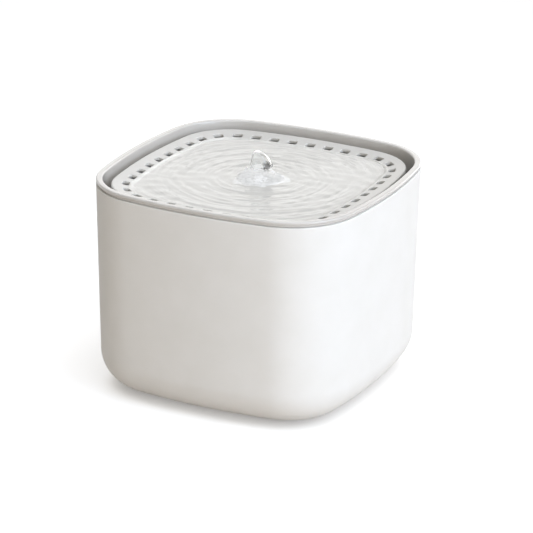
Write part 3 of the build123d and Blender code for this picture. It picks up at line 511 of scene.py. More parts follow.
def still_water():
    """Clean water: clear, IOR 1.33, with a ripple too fine for the mesh as a bump, and painted shade
    in its colour: a grey outline on the bubble and a dark patch at its foot. Light on its way to and
    from what lies under it goes straight through."""
    finish, tree, place = finish_tree("clean_water")
    # noise over (heading, reach / length), so that its waves are arcs round the spout
    flat = reckon_vector(tree, "MULTIPLY", place, (1, 1, 0))
    reach = reckon_vector(tree, "LENGTH", flat, result="Value")
    heading = add(tree, "SeparateXYZ", {"Vector": reckon_vector(tree, "NORMALIZE", flat)}).outputs
    outward = reckon(tree, "MULTIPLY", reach, 1 / (ARC_WAVE * ARC_SWEEP))
    arcs = add(tree, "CombineXYZ", {"X": heading["X"], "Y": heading["Y"], "Z": outward})
    inputs = {"Vector": arcs.outputs["Vector"], "Scale": ARC_SWEEP, "Detail": 3.0, "Roughness": 0.55}
    chop = add(tree, "TexNoise", inputs).outputs["Fac"]
    # smooth on the bubble and its mound, choppy further out
    away = ranged(tree, reach, CHOP_START, CHOP_FULL)
    # clear where it is seen straight through, painted grey where the bubble's skin is seen edge on,
    # standing in for dark refraction at its outline
    top = water_high.z
    skin = ranged(tree, height_of(tree, place), top - PAINTED_EDGE_START, top - PAINTED_EDGE_FULL)
    edge_on = add(tree, "LayerWeight", {"Blend": 0.5}).outputs["Facing"]
    painted_edge_share = ranged(tree, edge_on, 0.62, 0.97, end=skin)
    # 6F6D6B is the grey of the painted outline
    tint = mixed_colour(tree, painted_edge_share, linear("FBFCFC"), linear("6F6D6B"))
    # painted shade: at one side of the bubble's foot the water's colour is painted darker in small
    # frayed patches, standing in for dark refraction
    painted_dark_distance = reckon_vector(tree, "DISTANCE", place, tuple(PAINTED_DARK_PLACE), result="Value")
    painted_dark_noise = noise(tree, place, 1.1, 2.0)
    frayed = reckon(tree, "MULTIPLY_ADD", painted_dark_noise, PAINTED_DARK_FRAY, painted_dark_distance)
    depth = ranged(tree, frayed, PAINTED_DARK_FAR, PAINTED_DARK_NEAR)
    inputs = {
        # 868482 is the colour of the painted dark patch
        "Base Color": mixed_colour(tree, depth, tint, linear("868482")),
        "Roughness": 0.02,
        "IOR": 1.333,
        "Transmission Weight": 1.0,
        "Normal": bumped(tree, chop, CHOP_DEPTH_MM, away),
    }
    shader = add(tree, "BsdfPrincipled", inputs).outputs["BSDF"]
    clear = add(tree, "BsdfTransparent", {"Color": linear("FFFFFF")}).outputs["BSDF"]
    straight = shown_to(tree, "Is Shadow Ray", "Is Diffuse Ray")
    add(tree, "OutputMaterial", {"Surface": mixed_shader(tree, straight, shader, clear)})
    return finish


water = still_water()

# ======== casing ========
SHELL_WALL = 2.2 * MM
SHELL_EDGE = 0.5 * MM
WALL_ROW = 60 * MM
FOOT_RADIUS = 25.4 * MM
REBATE_EDGE = 0.3 * MM
COVER_CLEARANCE = 0.2 * MM
COLLAR_WIDTH = 4.0 * MM
COLLAR_HEIGHT = 6.0 * MM
LEDGE_WIDTH = 5.2 * MM
GROOVE_WIDTH = 1.8 * MM
FIT_GAP = 0.15 * MM
DECK_THICKNESS = 2.4 * MM
DECK_TOP = tank_low.z
RECESS_RADIUS = 6.5 * MM
RECESS_DEPTH = 8.0 * MM
CUP_WALL = 1.8 * MM
CUP_INSET = 0.15 * MM
CUP_LIMIT = 40 * MM
BARREL_RADIUS = 4.15 * MM
BOSS_RADIUS = 3.6 * MM
BOSS_BORE = 1.6 * MM
SCREW_HEAD = 2.8 * MM
CUT_OVERRUN = 4.0 * MM
# corners of the round cuts: none falls on the line where the back wall is halved
CUP_CORNERS = 62
RECESS_CORNERS = 94
CASING_COLUMNS = 384

casing_loop = square_loop(CASING_COLUMNS, rim_half_width)


def wall_reach(height, inset=0.0):
    """Half width of the drafted wall at a height: the rim's less the draft's lean, less the inset."""
    return rim_half_width - (rim_height - height) * math.tan(DRAFT) - inset


def wall_point(height, inset=0.0):
    """Profile point on the drafted wall at a height."""
    return wall_reach(height, inset), height


def foot_arc(inset, bottom, radius, steps):
    """Arc tangent to the flat bottom and to the leaning wall, from the bottom up."""
    centre = (
        wall_reach(bottom, inset) + radius * math.tan(DRAFT) - radius / math.cos(DRAFT),
        bottom + radius,
    )
    return arc(centre, radius, -90, -math.degrees(DRAFT), steps)


def edge_arc(height, radius, start, end, steps):
    """Arc of a radius just inside the drafted wall, with its middle at a height."""
    return arc((wall_reach(height) - radius, height), radius, start, end, steps)


def casing_form():
    """The casing's wall, its underside and the collar round the bottom cover, with the groove for
    the gasket, as one closed profile carried round the outline."""
    bottom, top = casing_low.z, casing_high.z
    rebate = cover_high.x + COVER_CLEARANCE
    opening = rebate - LEDGE_WIDTH
    ledge = cover_high.z
    inner_bottom = bottom + SHELL_WALL
    groove_high = gasket_high.x + FIT_GAP
    groove_low = groove_high - GROOVE_WIDTH
    profile = run(
        arc((rebate + REBATE_EDGE, bottom + REBATE_EDGE), REBATE_EDGE, 180, 270, 3),
        (rebate + 2 * MM, bottom),
        foot_arc(0, bottom, FOOT_RADIUS, 24),
        wall_point(bottom + WALL_ROW),
        wall_point(top - 2 * MM),
        edge_arc(top - SHELL_EDGE, SHELL_EDGE, 0, 90, 6),
        wall_point(top, SHELL_WALL),
        wall_point(top - WALL_ROW, SHELL_WALL),
        foot_arc(SHELL_WALL, inner_bottom, FOOT_RADIUS - SHELL_WALL, 18)[::-1],
        (rebate + COLLAR_WIDTH, inner_bottom),
        (rebate + COLLAR_WIDTH, bottom + COLLAR_HEIGHT),
        (opening, bottom + COLLAR_HEIGHT),
        (opening, ledge),
        (groove_low, ledge),
        (groove_low, gasket_high.z),
        (groove_high, gasket_high.z),
        (groove_high, ledge),
        (rebate, ledge),
    )
    return Form().grid(carry(profile, casing_loop), wrap_rows=True)


def casing_inside():
    """The deck under the tank, a slab inside the wall, and four bosses for the cover's screws:
    tubes round each screw, from the cover up to the deck."""
    form = Form()
    deck = DECK_TOP - DECK_THICKNESS
    half_width = wall_reach(deck, SHELL_WALL / 2)
    form.grid(carry([(half_width, deck), (half_width, DECK_TOP)], casing_loop), caps=(True, True))
    spread = screws_high.x - SCREW_HEAD
    offset = screws_high.y - SCREW_HEAD
    boss = [
        (BOSS_BORE, cover_high.z),
        (BOSS_RADIUS, cover_high.z),
        (BOSS_RADIUS, deck),
        (BOSS_BORE, deck),
    ]
    for across, along in ((1, 1), (-1, 1), (-1, -1), (1, -1)):
        loop = round_loop(32, (across * spread, along * offset))
        form.grid(carry(boss, loop), wrap_rows=True)
    return form


def towards_back(radius, start, end, corners):
    """Closed cylinder of a radius along +Y, from start to end, at the power inlet's height."""
    height = (socket_low.z + socket_high.z) / 2
    points = carry([(radius, start), (radius, end)], round_loop(corners))
    turned = np.stack([points[..., 0], points[..., 2], height + points[..., 1]], -1)
    return Form().grid(turned, caps=(True, True)).mesh("turned")


def casing_mesh():
    """The casing with the cup and the round recess of its power inlet: a cup is joined to the wall
    where it lies inside the casing's outer form, and the recess and its bore are cut."""
    floor = socket_high.y
    mouth = floor + RECESS_DEPTH + CUT_OVERRUN
    outer = run(
        foot_arc(CUP_INSET, casing_low.z + CUP_INSET, FOOT_RADIUS - CUP_INSET, 24),
        wall_point(casing_low.z + CUP_LIMIT, CUP_INSET),
    )
    solid = Form().grid(carry(outer, casing_loop), caps=(True, True)).mesh("outer")
    cup = towards_back(RECESS_RADIUS + CUP_WALL, floor - CUP_WALL, mouth, CUP_CORNERS)
    recess = towards_back(RECESS_RADIUS, floor, mouth, RECESS_CORNERS)
    bore = towards_back(BARREL_RADIUS, floor - 2 * CUP_WALL, mouth, CUP_CORNERS)
    shell = cut(casing_form().mesh("casing"), cut(cup, solid, "INTERSECT"), "UNION")
    shell = cut(cut(shell, recess, "DIFFERENCE"), bore, "DIFFERENCE")
    joined(shell, casing_inside().mesh("inside"))
    shell.materials.clear()
    shell.polygons.foreach_set("material_index", [0] * len(shell.polygons))
    return smoothed(shell, 32)


piece("casing", casing_mesh(), casing_abs, "base", "casing_white", ["outer_shell"])

# ======== tank ========
TANK_CLEARANCE = 0.3 * MM
TANK_WALL = 2.0 * MM
TANK_FLOOR = 2.2 * MM
TANK_FOOT_RADIUS = 14.0 * MM
RIM_BAND = 3.5 * MM
RIM_EDGE = 1.1 * MM
ROLL_RADIUS = 0.8 * MM
ROLL_HEIGHT = 1.2 * MM
GROOVE_DEPTH = 1.5 * MM
GROOVE_TOP = 1.3 * MM
RING_PLAY = 0.4 * MM
RING_WALL = 2.0 * MM
RING_HEIGHT = 4.0 * MM
RING_GAP = 14.0 * MM


def tank_form():
    """The tank's cup as one profile, from under its floor, up its wall, over the folded rim and
    down inside, carried round the outline and closed by its two flat floors. The rim's outer edge
    is rolled, and a groove under it stands over the casing's edge."""
    form = Form()
    outer = SHELL_WALL + TANK_CLEARANCE
    inner = outer + TANK_WALL
    bottom, top = tank_low.z, tank_high.z
    floor = bottom + TANK_FLOOR
    band = top - RIM_BAND
    crest = top - RIM_EDGE
    profile = run(
        foot_arc(outer, bottom, TANK_FOOT_RADIUS, 12),
        wall_point(band, outer),
        wall_point(band, GROOVE_DEPTH),
        (wall_reach(band, GROOVE_DEPTH), band + GROOVE_TOP),
        edge_arc(top - ROLL_HEIGHT, ROLL_RADIUS, -70, 0, 6),
        edge_arc(crest, RIM_EDGE, 0, 90, 10),
        arc((wall_reach(crest, inner) + RIM_EDGE, crest), RIM_EDGE, 90, 180, 10),
        wall_point(top - 3 * MM, inner),
        wall_point(top - WALL_ROW, inner),
        foot_arc(inner, floor, TANK_FOOT_RADIUS - TANK_WALL, 12)[::-1],
    )
    form.grid(carry(profile, casing_loop), caps=(True, True))
    # castellated ring that centres the pump: four arcs of a square section
    radius = base_high.x + RING_PLAY
    half_gap = RING_GAP / 2 / (radius + RING_WALL / 2)
    section = [
        (radius, floor),
        (radius + RING_WALL, floor),
        (radius + RING_WALL, floor + RING_HEIGHT),
        (radius, floor + RING_HEIGHT),
    ]
    for quarter in range(4):
        angle = np.linspace(half_gap, math.pi / 2 - half_gap, 25) + (quarter - 0.5) * math.pi / 2
        points = carry(section, (0, headings(angle)))
        form.grid(points, wrap_rows=True, wrap_columns=False, ends=True)
    return form


piece("tank", tank_form().mesh("tank"), tank_abs, "tank", "tank_grey", ["water_tank"])

# ======== drinking tray ========
TRAY_EDGE = 1.0 * MM
TRAY_WALL = 2.0 * MM
TRAY_THICKNESS = 1.8 * MM
TRAY_LAND = 1.1 * MM
BORDER_WIDTH = 11.6 * MM
BORDER_FALL = 2.3 * MM
FLOOR_STEP = 1.5 * MM
STEP_RADIUS = 0.8 * MM
STEP_INSET = 0.1 * MM
FLAT_INSET = 5.0 * MM
SLOT_INSET = 19.1 * MM
SLOTS = 40
SLOT_LENGTH = 6.8 * MM
SLOT_WIDTH = 4.7 * MM
SLOT_CORNER = 1.1 * MM
SLOT_EDGE = 0.45 * MM
SLOT_DEPTH = 2.0 * MM
SLOT_COLLAR = 0.8 * MM
SPIGOT_RADIUS = 10.35 * MM
HUB_WALL = 2.0 * MM
HUB_DEPTH = 3.6 * MM
# faces along and across one slot's cell, and how far the cells' band stays inside the border
CELL_STEPS = 10
CELL_RISE = 6
BAND_OUTSIDE = 1.2 * MM
BAND_INSIDE = 0.25 * MM

slot_reach = rim_half_width - SLOT_INSET
slot_pitch = outline_length(slot_reach) / SLOTS
tray_loop = square_loop(SLOTS * CELL_STEPS, slot_reach, -slot_pitch / 2)

tray_reach = tray_high.x
tray_top = tray_high.z
border_outer = tray_reach - TRAY_LAND
border_inner = border_outer - BORDER_WIDTH
border_foot = tray_top - BORDER_FALL
tray_floor = border_foot - FLOOR_STEP
flat_reach = border_inner - FLAT_INSET
band_outer = border_outer - BAND_OUTSIDE
band_inner = border_inner + BAND_INSIDE


def border_height(reach):
    """Height of the sloping border: it falls evenly from its outer edge to its foot."""
    return tray_top - BORDER_FALL * (border_outer - reach) / BORDER_WIDTH


def border_point(reach, drop=0.0):
    """Profile point on the sloping border, or a drop under it."""
    return reach, border_height(reach) - drop


def cell_edge():
    """Boundary of one slot's cell as offsets (along, across) from the slot's middle, anticlockwise."""
    along = np.linspace(-slot_pitch / 2, slot_pitch / 2, CELL_STEPS + 1)
    across = np.linspace(band_inner - slot_reach, band_outer - slot_reach, CELL_RISE + 1)
    lower = np.stack([along[:-1], np.full(CELL_STEPS, across[0])], -1)
    right = np.stack([np.full(CELL_RISE, along[-1]), across[:-1]], -1)
    upper = np.stack([along[:0:-1], np.full(CELL_STEPS, across[-1])], -1)
    left = np.stack([np.full(CELL_RISE, along[0]), across[:0:-1]], -1)
    return np.concatenate([lower, right, upper, left])


def rounded_slot(grow):
    """Outline of one slot as offsets (along, across), grown outwards: a rectangle with round
    corners, sampled at the directions of the cell's own boundary points."""
    half = np.array([SLOT_LENGTH / 2 + grow, SLOT_WIDTH / 2 + grow])
    corner = SLOT_CORNER + grow
    edge = cell_edge() / half
    ray = headings(np.arctan2(edge[:, 1], edge[:, 0]))
    box = ray / np.abs(ray).max(axis=1, keepdims=True) * half
    held = np.clip(box, corner - half, half - corner)
    away = box - held
    length = np.linalg.norm(away, axis=1, keepdims=True)
    return held + away / np.maximum(length, 1e-12) * corner


def slot_cells(form):
    """Forty cells of the border, each a closed ribbon of rows from the cell's boundary in to the
    slot, over its rounded edge, down inside its collar, up outside it and out again underneath."""
    edge = cell_edge()
    rows = [(edge + (rounded_slot(SLOT_EDGE) - edge) * share, 0.0) for share in (0.0, 0.45, 0.8)]
    for angle in np.radians(np.linspace(0, 90, 6)):
        outline_row = rounded_slot(SLOT_EDGE * (1 - math.sin(angle)))
        rows.append((outline_row, SLOT_EDGE * (1 - math.cos(angle))))
    collar = rounded_slot(SLOT_COLLAR)
    rows += [(rounded_slot(0), SLOT_DEPTH), (collar, SLOT_DEPTH)]
    rows += [(edge + (collar - edge) * share, TRAY_THICKNESS) for share in (1.0, 0.5, 0.0)]
    offsets = np.array([offset for offset, _ in rows])
    drops = np.array([drop for _, drop in rows])
    middles = np.arange(SLOTS)[:, None, None] * slot_pitch
    points, outward = outline(middles + offsets[None, :, :, 0], slot_reach)
    height = border_height(slot_reach + offsets[:, :, 1]) - drops[:, None]
    for cell in lifted(points + outward * offsets[None, :, :, 1:], height):
        form.grid(cell)


def flat_ring(outer, inner, height):
    """Grid of seven rows at a height, from points of an outer outline to points of an inner one."""
    share = np.linspace(0, 1, 7)[:, None, None]
    return lifted(outer * (1 - share) + inner * share, height)


def tray_form():
    """The tray: skirt, rounded edge, sloping border with its slots, step, floor and the hub for
    the spout, as profiles carried round the outline and cells that fill the border between them."""
    form = Form()
    skirt_inside = tray_reach - TRAY_WALL
    outer = run(
        border_point(band_outer),
        (border_outer, tray_top),
        arc((tray_reach - TRAY_EDGE, tray_top - TRAY_EDGE), TRAY_EDGE, 90, 0, 8),
        (tray_reach, tray_low.z),
        (skirt_inside, tray_low.z),
        border_point(skirt_inside, TRAY_THICKNESS),
        border_point(band_outer, TRAY_THICKNESS),
    )
    form.grid(carry(outer, tray_loop))
    slope = math.degrees(math.atan2(BORDER_FALL, BORDER_WIDTH))
    brink = (border_inner + STEP_INSET, border_foot - STEP_RADIUS)
    bottom = (border_inner - FLOOR_STEP - 0.5 * MM, tray_floor + STEP_RADIUS)
    inner = run(
        border_point(band_inner),
        arc(brink, STEP_RADIUS, 90 + slope, 135, 3),
        arc(bottom, STEP_RADIUS, -45, -90, 4),
        (flat_reach, tray_floor),
    )
    form.grid(carry(inner, tray_loop))
    slot_cells(form)
    under = run(
        border_point(band_inner, TRAY_THICKNESS),
        (border_inner + STEP_INSET, border_height(border_inner) - TRAY_THICKNESS),
        (border_inner - FLOOR_STEP, tray_floor - TRAY_THICKNESS),
        (flat_reach, tray_floor - TRAY_THICKNESS),
    )
    form.grid(carry(under, tray_loop))
    # flat floor between the outline and the hub's circle, top and underside
    origin, outward = tray_loop
    rim = origin + outward * flat_reach
    heading = rim / np.linalg.norm(rim, axis=1, keepdims=True)
    hub_outer = SPIGOT_RADIUS + HUB_WALL
    form.grid(flat_ring(rim, heading * SPIGOT_RADIUS, tray_floor))
    form.grid(flat_ring(rim, heading * hub_outer, tray_floor - TRAY_THICKNESS))
    hub = run(
        (SPIGOT_RADIUS, tray_floor),
        (SPIGOT_RADIUS, tray_floor - HUB_DEPTH),
        (hub_outer, tray_floor - HUB_DEPTH),
        (hub_outer, tray_floor - TRAY_THICKNESS),
    )
    form.grid(carry(hub, (0, heading)))
    return form


piece("tray", tray_form().mesh("tray"), tray_abs, "tray", "tray_pale", ["drinking_tray"])

# ======== water on the tray ========
WATER_COLUMNS = 360
RIPPLE_ROWS = 140
MOUND_ROWS = 32
DOME_ROWS = 40
WAIST_ROWS = 8
WATER_DEPTH = 1.7 * MM
WATER_SUNK = 0.12 * MM
SHORE_SUNK = 0.35 * MM
STEP_SUNK = 0.2 * MM
UNDER_RING = 20 * MM
UNDER_POLE = 1 * MM
DOME_RADIUS = 7.5 * MM
DOME_FOOT = 6.9 * MM
DOME_POWER = 2.4
DOME_WAIST = 6.5 * MM
DOME_BULGE = 1.8 * MM
DOME_LEAN = 2.9 * MM
LEAN_POWER = 2.2
WAIST_LEAN = 0.7 * MM
BUBBLE_SKIN = 0.9 * MM
AIR_LIFT = 0.5 * MM
MOUND_RADIUS = 19.0 * MM
MOUND_POWER = 2.1
CALM_RADIUS = 13.0 * MM
CALM_FADE = 9.0 * MM
SHORE_FADE = 2.5 * MM
SWELL_OVER = 0.2 * MM
SWELL_SPREAD = 6.0 * MM
SWELL_COLUMNS = 192
POLE_RADIUS = 0.5 * MM
SPLASH_SIDE = math.radians(206.6)

water_level = tray_floor + WATER_DEPTH
# half width at which the sloping border reaches the water's level
shore = border_inner + BORDER_WIDTH * (water_level - border_foot) / BORDER_FALL

# ripples: wavelength and height in mm, phase, and how far the ring strays from a circle in mm
RIPPLES = [
    (13.1, 0.095, 0.4, 2.4),
    (8.7, 0.08, 2.1, 2.6),
    (5.9, 0.06, 4.4, 1.7),
    (4.1, 0.036, 1.2, 1.5),
    (3.0, 0.022, 5.3, 1.1),
]
# waves that come back from the border: heading in degrees, wavelength and height in mm, and phase
CROSSINGS = [
    (72, 13.1, 0.08, 0.3),
    (104, 10.3, 0.06, 2.2),
    (131, 12.0, 0.065, 4.0),
    (49, 8.9, 0.045, 1.1),
    (163, 7.3, 0.03, 5.2),
    (88, 5.9, 0.02, 3.1),
]
# rings and a hollow at the mound's foot: radius, height and half width, in mm
RINGS = [(19.5, 0.28, 2.2), (16.2, -0.22, 1.0), (32.0, 0.3, 3.0)]
# lumps of the splash: how far out and beside its line, half width, half length and height, in mm
SPLASHES = [
    (9.3, 0.2, 1.4, 1.3, 2.9),
    (11.6, 1.9, 0.7, 2.4, 0.9),
    (12.4, -0.6, 0.6, 2.8, 0.8),
    (13.0, 3.6, 0.7, 2.2, 0.5),
    (10.0, -2.6, 0.9, 1.4, 0.7),
]


def ripples(reach, angle):
    """Height of the ripples: each is height * sin(2 pi * (reach + stray) / wavelength + phase), where
    the stray is a slow wave round the ring, and its height swells and fades round the ring too.
    The waves that come back are height * sin(2 pi * (along + bend) / wavelength + phase)."""
    height = np.zeros_like(reach)
    for number, (length, tall, phase, stray) in enumerate(RIPPLES):
        turn = number * 1.7
        wander = (
            np.sin(2 * angle + turn + reach / (21 * MM))
            + 0.6 * np.sin(3 * angle - 2 * turn - reach / (13 * MM))
            + 0.35 * np.sin(7 * angle + 3 * turn + reach / (9 * MM))
        )
        swell = 1 + 0.55 * np.sin(4 * angle + 2 * turn + reach / (7 * MM)) * np.sin(
            3 * angle - turn - reach / (17 * MM)
        )
        wave = np.sin(2 * math.pi * (reach + wander * stray * MM) / (length * MM) + phase)
        height += tall * MM * swell * wave
    for heading, length, tall, phase in CROSSINGS:
        along = reach * np.cos(angle - math.radians(heading))
        beside = reach * np.sin(angle - math.radians(heading))
        bend = 0.22 * length * MM * np.sin(beside / (1.9 * length * MM) + 2 * phase)
        wave = np.sin(2 * math.pi * (along + bend) / (length * MM) + phase)
        height += tall * MM * wave * (0.6 + 0.4 * np.sin(beside / (14 * MM) - phase))
    return height


def hump(distance, middle, width):
    """Smooth hump of height 1: exp(-((distance - middle) / width) ** 2), the last two in mm."""
    return np.exp(-(((distance - middle * MM) / (width * MM)) ** 2))


def water_top(reach, angle, edge):
    """Height of the water outside the bubble: the level, the hollow-flanked mound
    foot * ((mound radius - reach) / (mound radius - waist)) ** power, rings at its foot, the
    ripples, which fade in past the mound and out at the edge, and the splash at one side."""
    share = np.clip((MOUND_RADIUS - reach) / (MOUND_RADIUS - DOME_WAIST), 0, 1)
    mound = DOME_FOOT * share**MOUND_POWER
    ring = sum(tall * MM * hump(reach, far, wide) for far, tall, wide in RINGS)
    start = np.clip((reach - CALM_RADIUS) / CALM_FADE, 0, 1)
    end = np.clip((edge - reach) / SHORE_FADE, 0, 1)
    out = reach * np.cos(angle - SPLASH_SIDE)
    side = reach * np.sin(angle - SPLASH_SIDE)
    splash = sum(
        tall * MM * hump(side, beside, wide) * hump(out, far, long)
        for far, beside, wide, long, tall in SPLASHES
    )
    return water_level + mound + ring * end + ripples(reach, angle) * start * end + splash


def edge_reach(half_width, angle):
    """Distance from the axis to the bowed square of a half width, in each direction."""
    points, _ = outline(np.linspace(0, outline_length(half_width), 4001)[:-1], half_width)
    heading = np.arctan2(points[:, 1], points[:, 0])
    order = np.argsort(heading)
    distance = np.linalg.norm(points, axis=1)
    return np.interp(angle, heading[order], distance[order], period=2 * math.pi)


def bubble_rows(angle, heading, skin=0.0):
    """Rows of the bubble from its pole down: height * (1 - share of radius ** power) to its widest
    ring, then a quarter ellipse back in to its waist on the mound. It leans towards the splash, and
    three and five waves round it wobble a little. A skin shrinks it to the air inside."""
    share = np.linspace(0.02, 1, DOME_ROWS)
    quarter = np.sin(np.radians(np.linspace(0, 90, WAIST_ROWS + 1)[1:]))
    up = np.concatenate([1 - share**DOME_POWER, np.zeros(WAIST_ROWS)])
    under = np.concatenate([np.zeros(DOME_ROWS), quarter])
    radius = (DOME_RADIUS - skin) * np.concatenate([share, np.ones(WAIST_ROWS)])
    radius -= (DOME_RADIUS - DOME_WAIST) * (1 - np.sqrt(1 - under**2))
    up, under, radius = up[:, None], under[:, None], radius[:, None]
    wobble = 1 + 0.02 * np.sin(3 * angle + 1.0 + 2 * up) + 0.012 * np.sin(5 * angle - 2 * up)
    shift = DOME_LEAN * up**LEAN_POWER - WAIST_LEAN * np.sqrt(1 - under)
    flat = heading * (radius * wobble)[..., None] + headings(SPLASH_SIDE) * shift[..., None]
    foot = water_top(np.full_like(angle, DOME_WAIST), angle, 1.0)
    crown = water_high.z - DOME_BULGE - 1.6 * skin
    return lifted(flat, foot + DOME_BULGE * (1 - under) + up * (crown - foot))


def air_inside(angle, heading):
    """The air in the bubble: the bubble's rows shrunk by its skin, lifted a little and closed by a
    flat floor, with its faces turned towards the air."""
    rows = bubble_rows(angle, heading, BUBBLE_SKIN)
    rows[..., 2] += AIR_LIFT
    data = Form().grid(rows, caps=(True, True)).mesh("air", 60.0)
    data.flip_normals()
    return data


def water_mesh():
    """The water as one closed skin of rows round the axis: the bubble, the mound and ripples out to
    where the level meets the sloping border, and back under, just inside the tray."""
    angle = full_turn(WATER_COLUMNS) - math.pi
    heading = headings(angle)
    edge = edge_reach(shore, angle)
    mound = np.linspace(DOME_WAIST, MOUND_RADIUS, MOUND_ROWS)[1:, None] + 0 * angle
    share = np.linspace(0, 1, RIPPLE_ROWS)[1:, None]
    reach = np.concatenate([mound, MOUND_RADIUS + share * (edge - MOUND_RADIUS)])
    height = water_top(reach, angle[None, :], edge[None, :])
    top = lifted(heading * reach[..., None], height)
    # underneath: just inside the border, the step and the floor
    below = [
        (edge_reach(shore + SHORE_SUNK, angle), border_height(shore + SHORE_SUNK)),
        (edge_reach(border_inner, angle), border_foot),
        (edge_reach(border_inner - FLOOR_STEP - STEP_SUNK, angle), tray_floor),
        (np.full_like(angle, UNDER_RING), tray_floor),
        (np.full_like(angle, UNDER_POLE), tray_floor),
    ]
    under = np.array([lifted(heading * far[:, None], level - WATER_SUNK) for far, level in below])
    rows = np.concatenate([bubble_rows(angle, heading), top, under])
    data = Form().grid(rows, caps=(True, True)).mesh("water", 60.0)
    return joined(data, air_inside(angle, heading))


def swell_form():
    """Milky swell over the spout: a low turned form, flat over the spout's flange and falling to
    the tray's floor beyond it as the smooth step 3 s^2 - 2 s^3 of the share s of its spread. The
    spread itself is a sum of three, five and eleven waves round the axis."""
    share = np.linspace(0, 1, 17)[:, None]
    low = tray_floor - WATER_SUNK
    high = nozzle_high.z + SWELL_OVER
    angle = full_turn(SWELL_COLUMNS)
    uneven = 1 + 0.3 * np.sin(3 * angle + 1) + 0.22 * np.sin(5 * angle) + 0.12 * np.sin(11 * angle)
    spread = nozzle_high.x + SWELL_SPREAD * share * uneven
    fall = high - (high - low) * share**2 * (3 - 2 * share) + 0 * angle
    ones = np.ones((1, SWELL_COLUMNS))
    pole = POLE_RADIUS * ones
    reach = np.concatenate([pole, nozzle_high.x / 2 * ones, spread, pole])
    height = np.concatenate([high * ones, high * ones, fall, low * ones])
    return Form().grid(lifted(headings(angle) * reach[..., None], height), caps=(True, True))


piece("water_and_bubble", water_mesh(), water, "tray", "water", ["water_surface"])
piece("aerated_swell", swell_form().mesh("swell", 60.0), aerated_water, "tray", "water")

# ======== finishes of the pieces that stay as they were modelled ========
for finish, names in (
    (casing_abs, ["base_cover", "board_posts"]),
    (tank_abs, ["tank_ribs"]),
    (white_pp, ["spout_nozzle", "cartridge_case", "cartridge_lid"]),
    (basin_pp, ["filter_basin", "filter_well"]),
    (pump_abs, ["pump_base", "pump_housing", "volute_plate", "pump_cover", "riser_tube"]),
    (silicone, ["base_gasket", "pump_damper", "riser_seal", "spout_seal"]),
    (rubber, ["rubber_feet", "shaft_bushes"]),
    (nylon, ["power_socket"]),
    (screw_steel, ["base_screws"]),
    (board_laminate, ["control_board"]),
    (flat_coil, ["transmitter_coil", "receiver_coil"]),
    (wound_copper, ["stator_windings"]),
    (ferrite, ["transmitter_ferrite", "receiver_ferrite", "rotor_magnet"]),
    (core_sheet, ["stator_core"]),
    (acetal, ["impeller"]),
    (ceramic, ["rotor_shaft"]),
    (foam, ["intake_foam"]),
    (resin_beads, ["resin_bed"]),
    (carbon_grains, ["carbon_bed"]),
    (cotton, ["cotton_pad"]),
):
    for name in names:
        for place in nodes[name].material_slots:
            place.material = finish

# ======== stage, camera and light ========
CAMERA_AZIMUTH = math.radians(26.51)
CAMERA_ELEVATION = math.radians(20.55)
CAMERA_ROLL = math.radians(0.595)
CAMERA_DISTANCE = 1939.8 * MM
CAMERA_TARGET = Vector((0, 0, 74.4 * MM))
FRAME_WIDTH = 533
FOCAL_PIXELS = 2913
SENSOR_WIDTH = 36
TARGET_PIXEL = (259.03, 268.52)

FLOOR_RADIUS = 4.0
SHADOW_REACH = 0.35
WHITE_REACH = 1.0
FLOOR_LIFT = 0.48
FLOOR_BOUNCE = "C2B7AA"
# reach of the painted contact shadow on the floor
PAINTED_CONTACT_SHADOW_REACH = 8 * MM
SURROUND = 0.22
SURROUND_COLOUR = "FFFAEA"
CEILING = ((0.26, "FFFFFF"), (0.95, "6A6865"), (0.55, "B4ADA5"), (0.75, "5E5B58"))
LIGHT_TARGET = Vector((0, 0, 70 * MM))


def aimed(shown, place, back, roll=0.0):
    """The object at a place, with its -Z axis turned against a direction, and then rolled."""
    shown.location = place
    shown.rotation_mode = "QUATERNION"
    turn = (-back).to_track_quat("-Z", "Y")
    shown.rotation_quaternion = turn @ Quaternion((0, 0, 1), roll)
    return shown


def make_camera():
    """Camera that looks back along its azimuth and elevation at the target, turned by the roll,
    and shifted so that the target falls on its pixel."""
    level = math.cos(CAMERA_ELEVATION)
    back = Vector(
        (
            math.sin(CAMERA_AZIMUTH) * level,
            -math.cos(CAMERA_AZIMUTH) * level,
            math.sin(CAMERA_ELEVATION),
        )
    )
    data = bpy.data.cameras.new("camera")
    data.lens = FOCAL_PIXELS / FRAME_WIDTH * SENSOR_WIDTH
    data.sensor_width = SENSOR_WIDTH
    data.shift_x = (FRAME_WIDTH / 2 - TARGET_PIXEL[0]) / FRAME_WIDTH
    data.shift_y = (TARGET_PIXEL[1] - FRAME_WIDTH / 2) / FRAME_WIDTH
    place = CAMERA_TARGET + back * CAMERA_DISTANCE
    bpy.context.scene.camera = aimed(new_object("camera", data), place, back, CAMERA_ROLL)


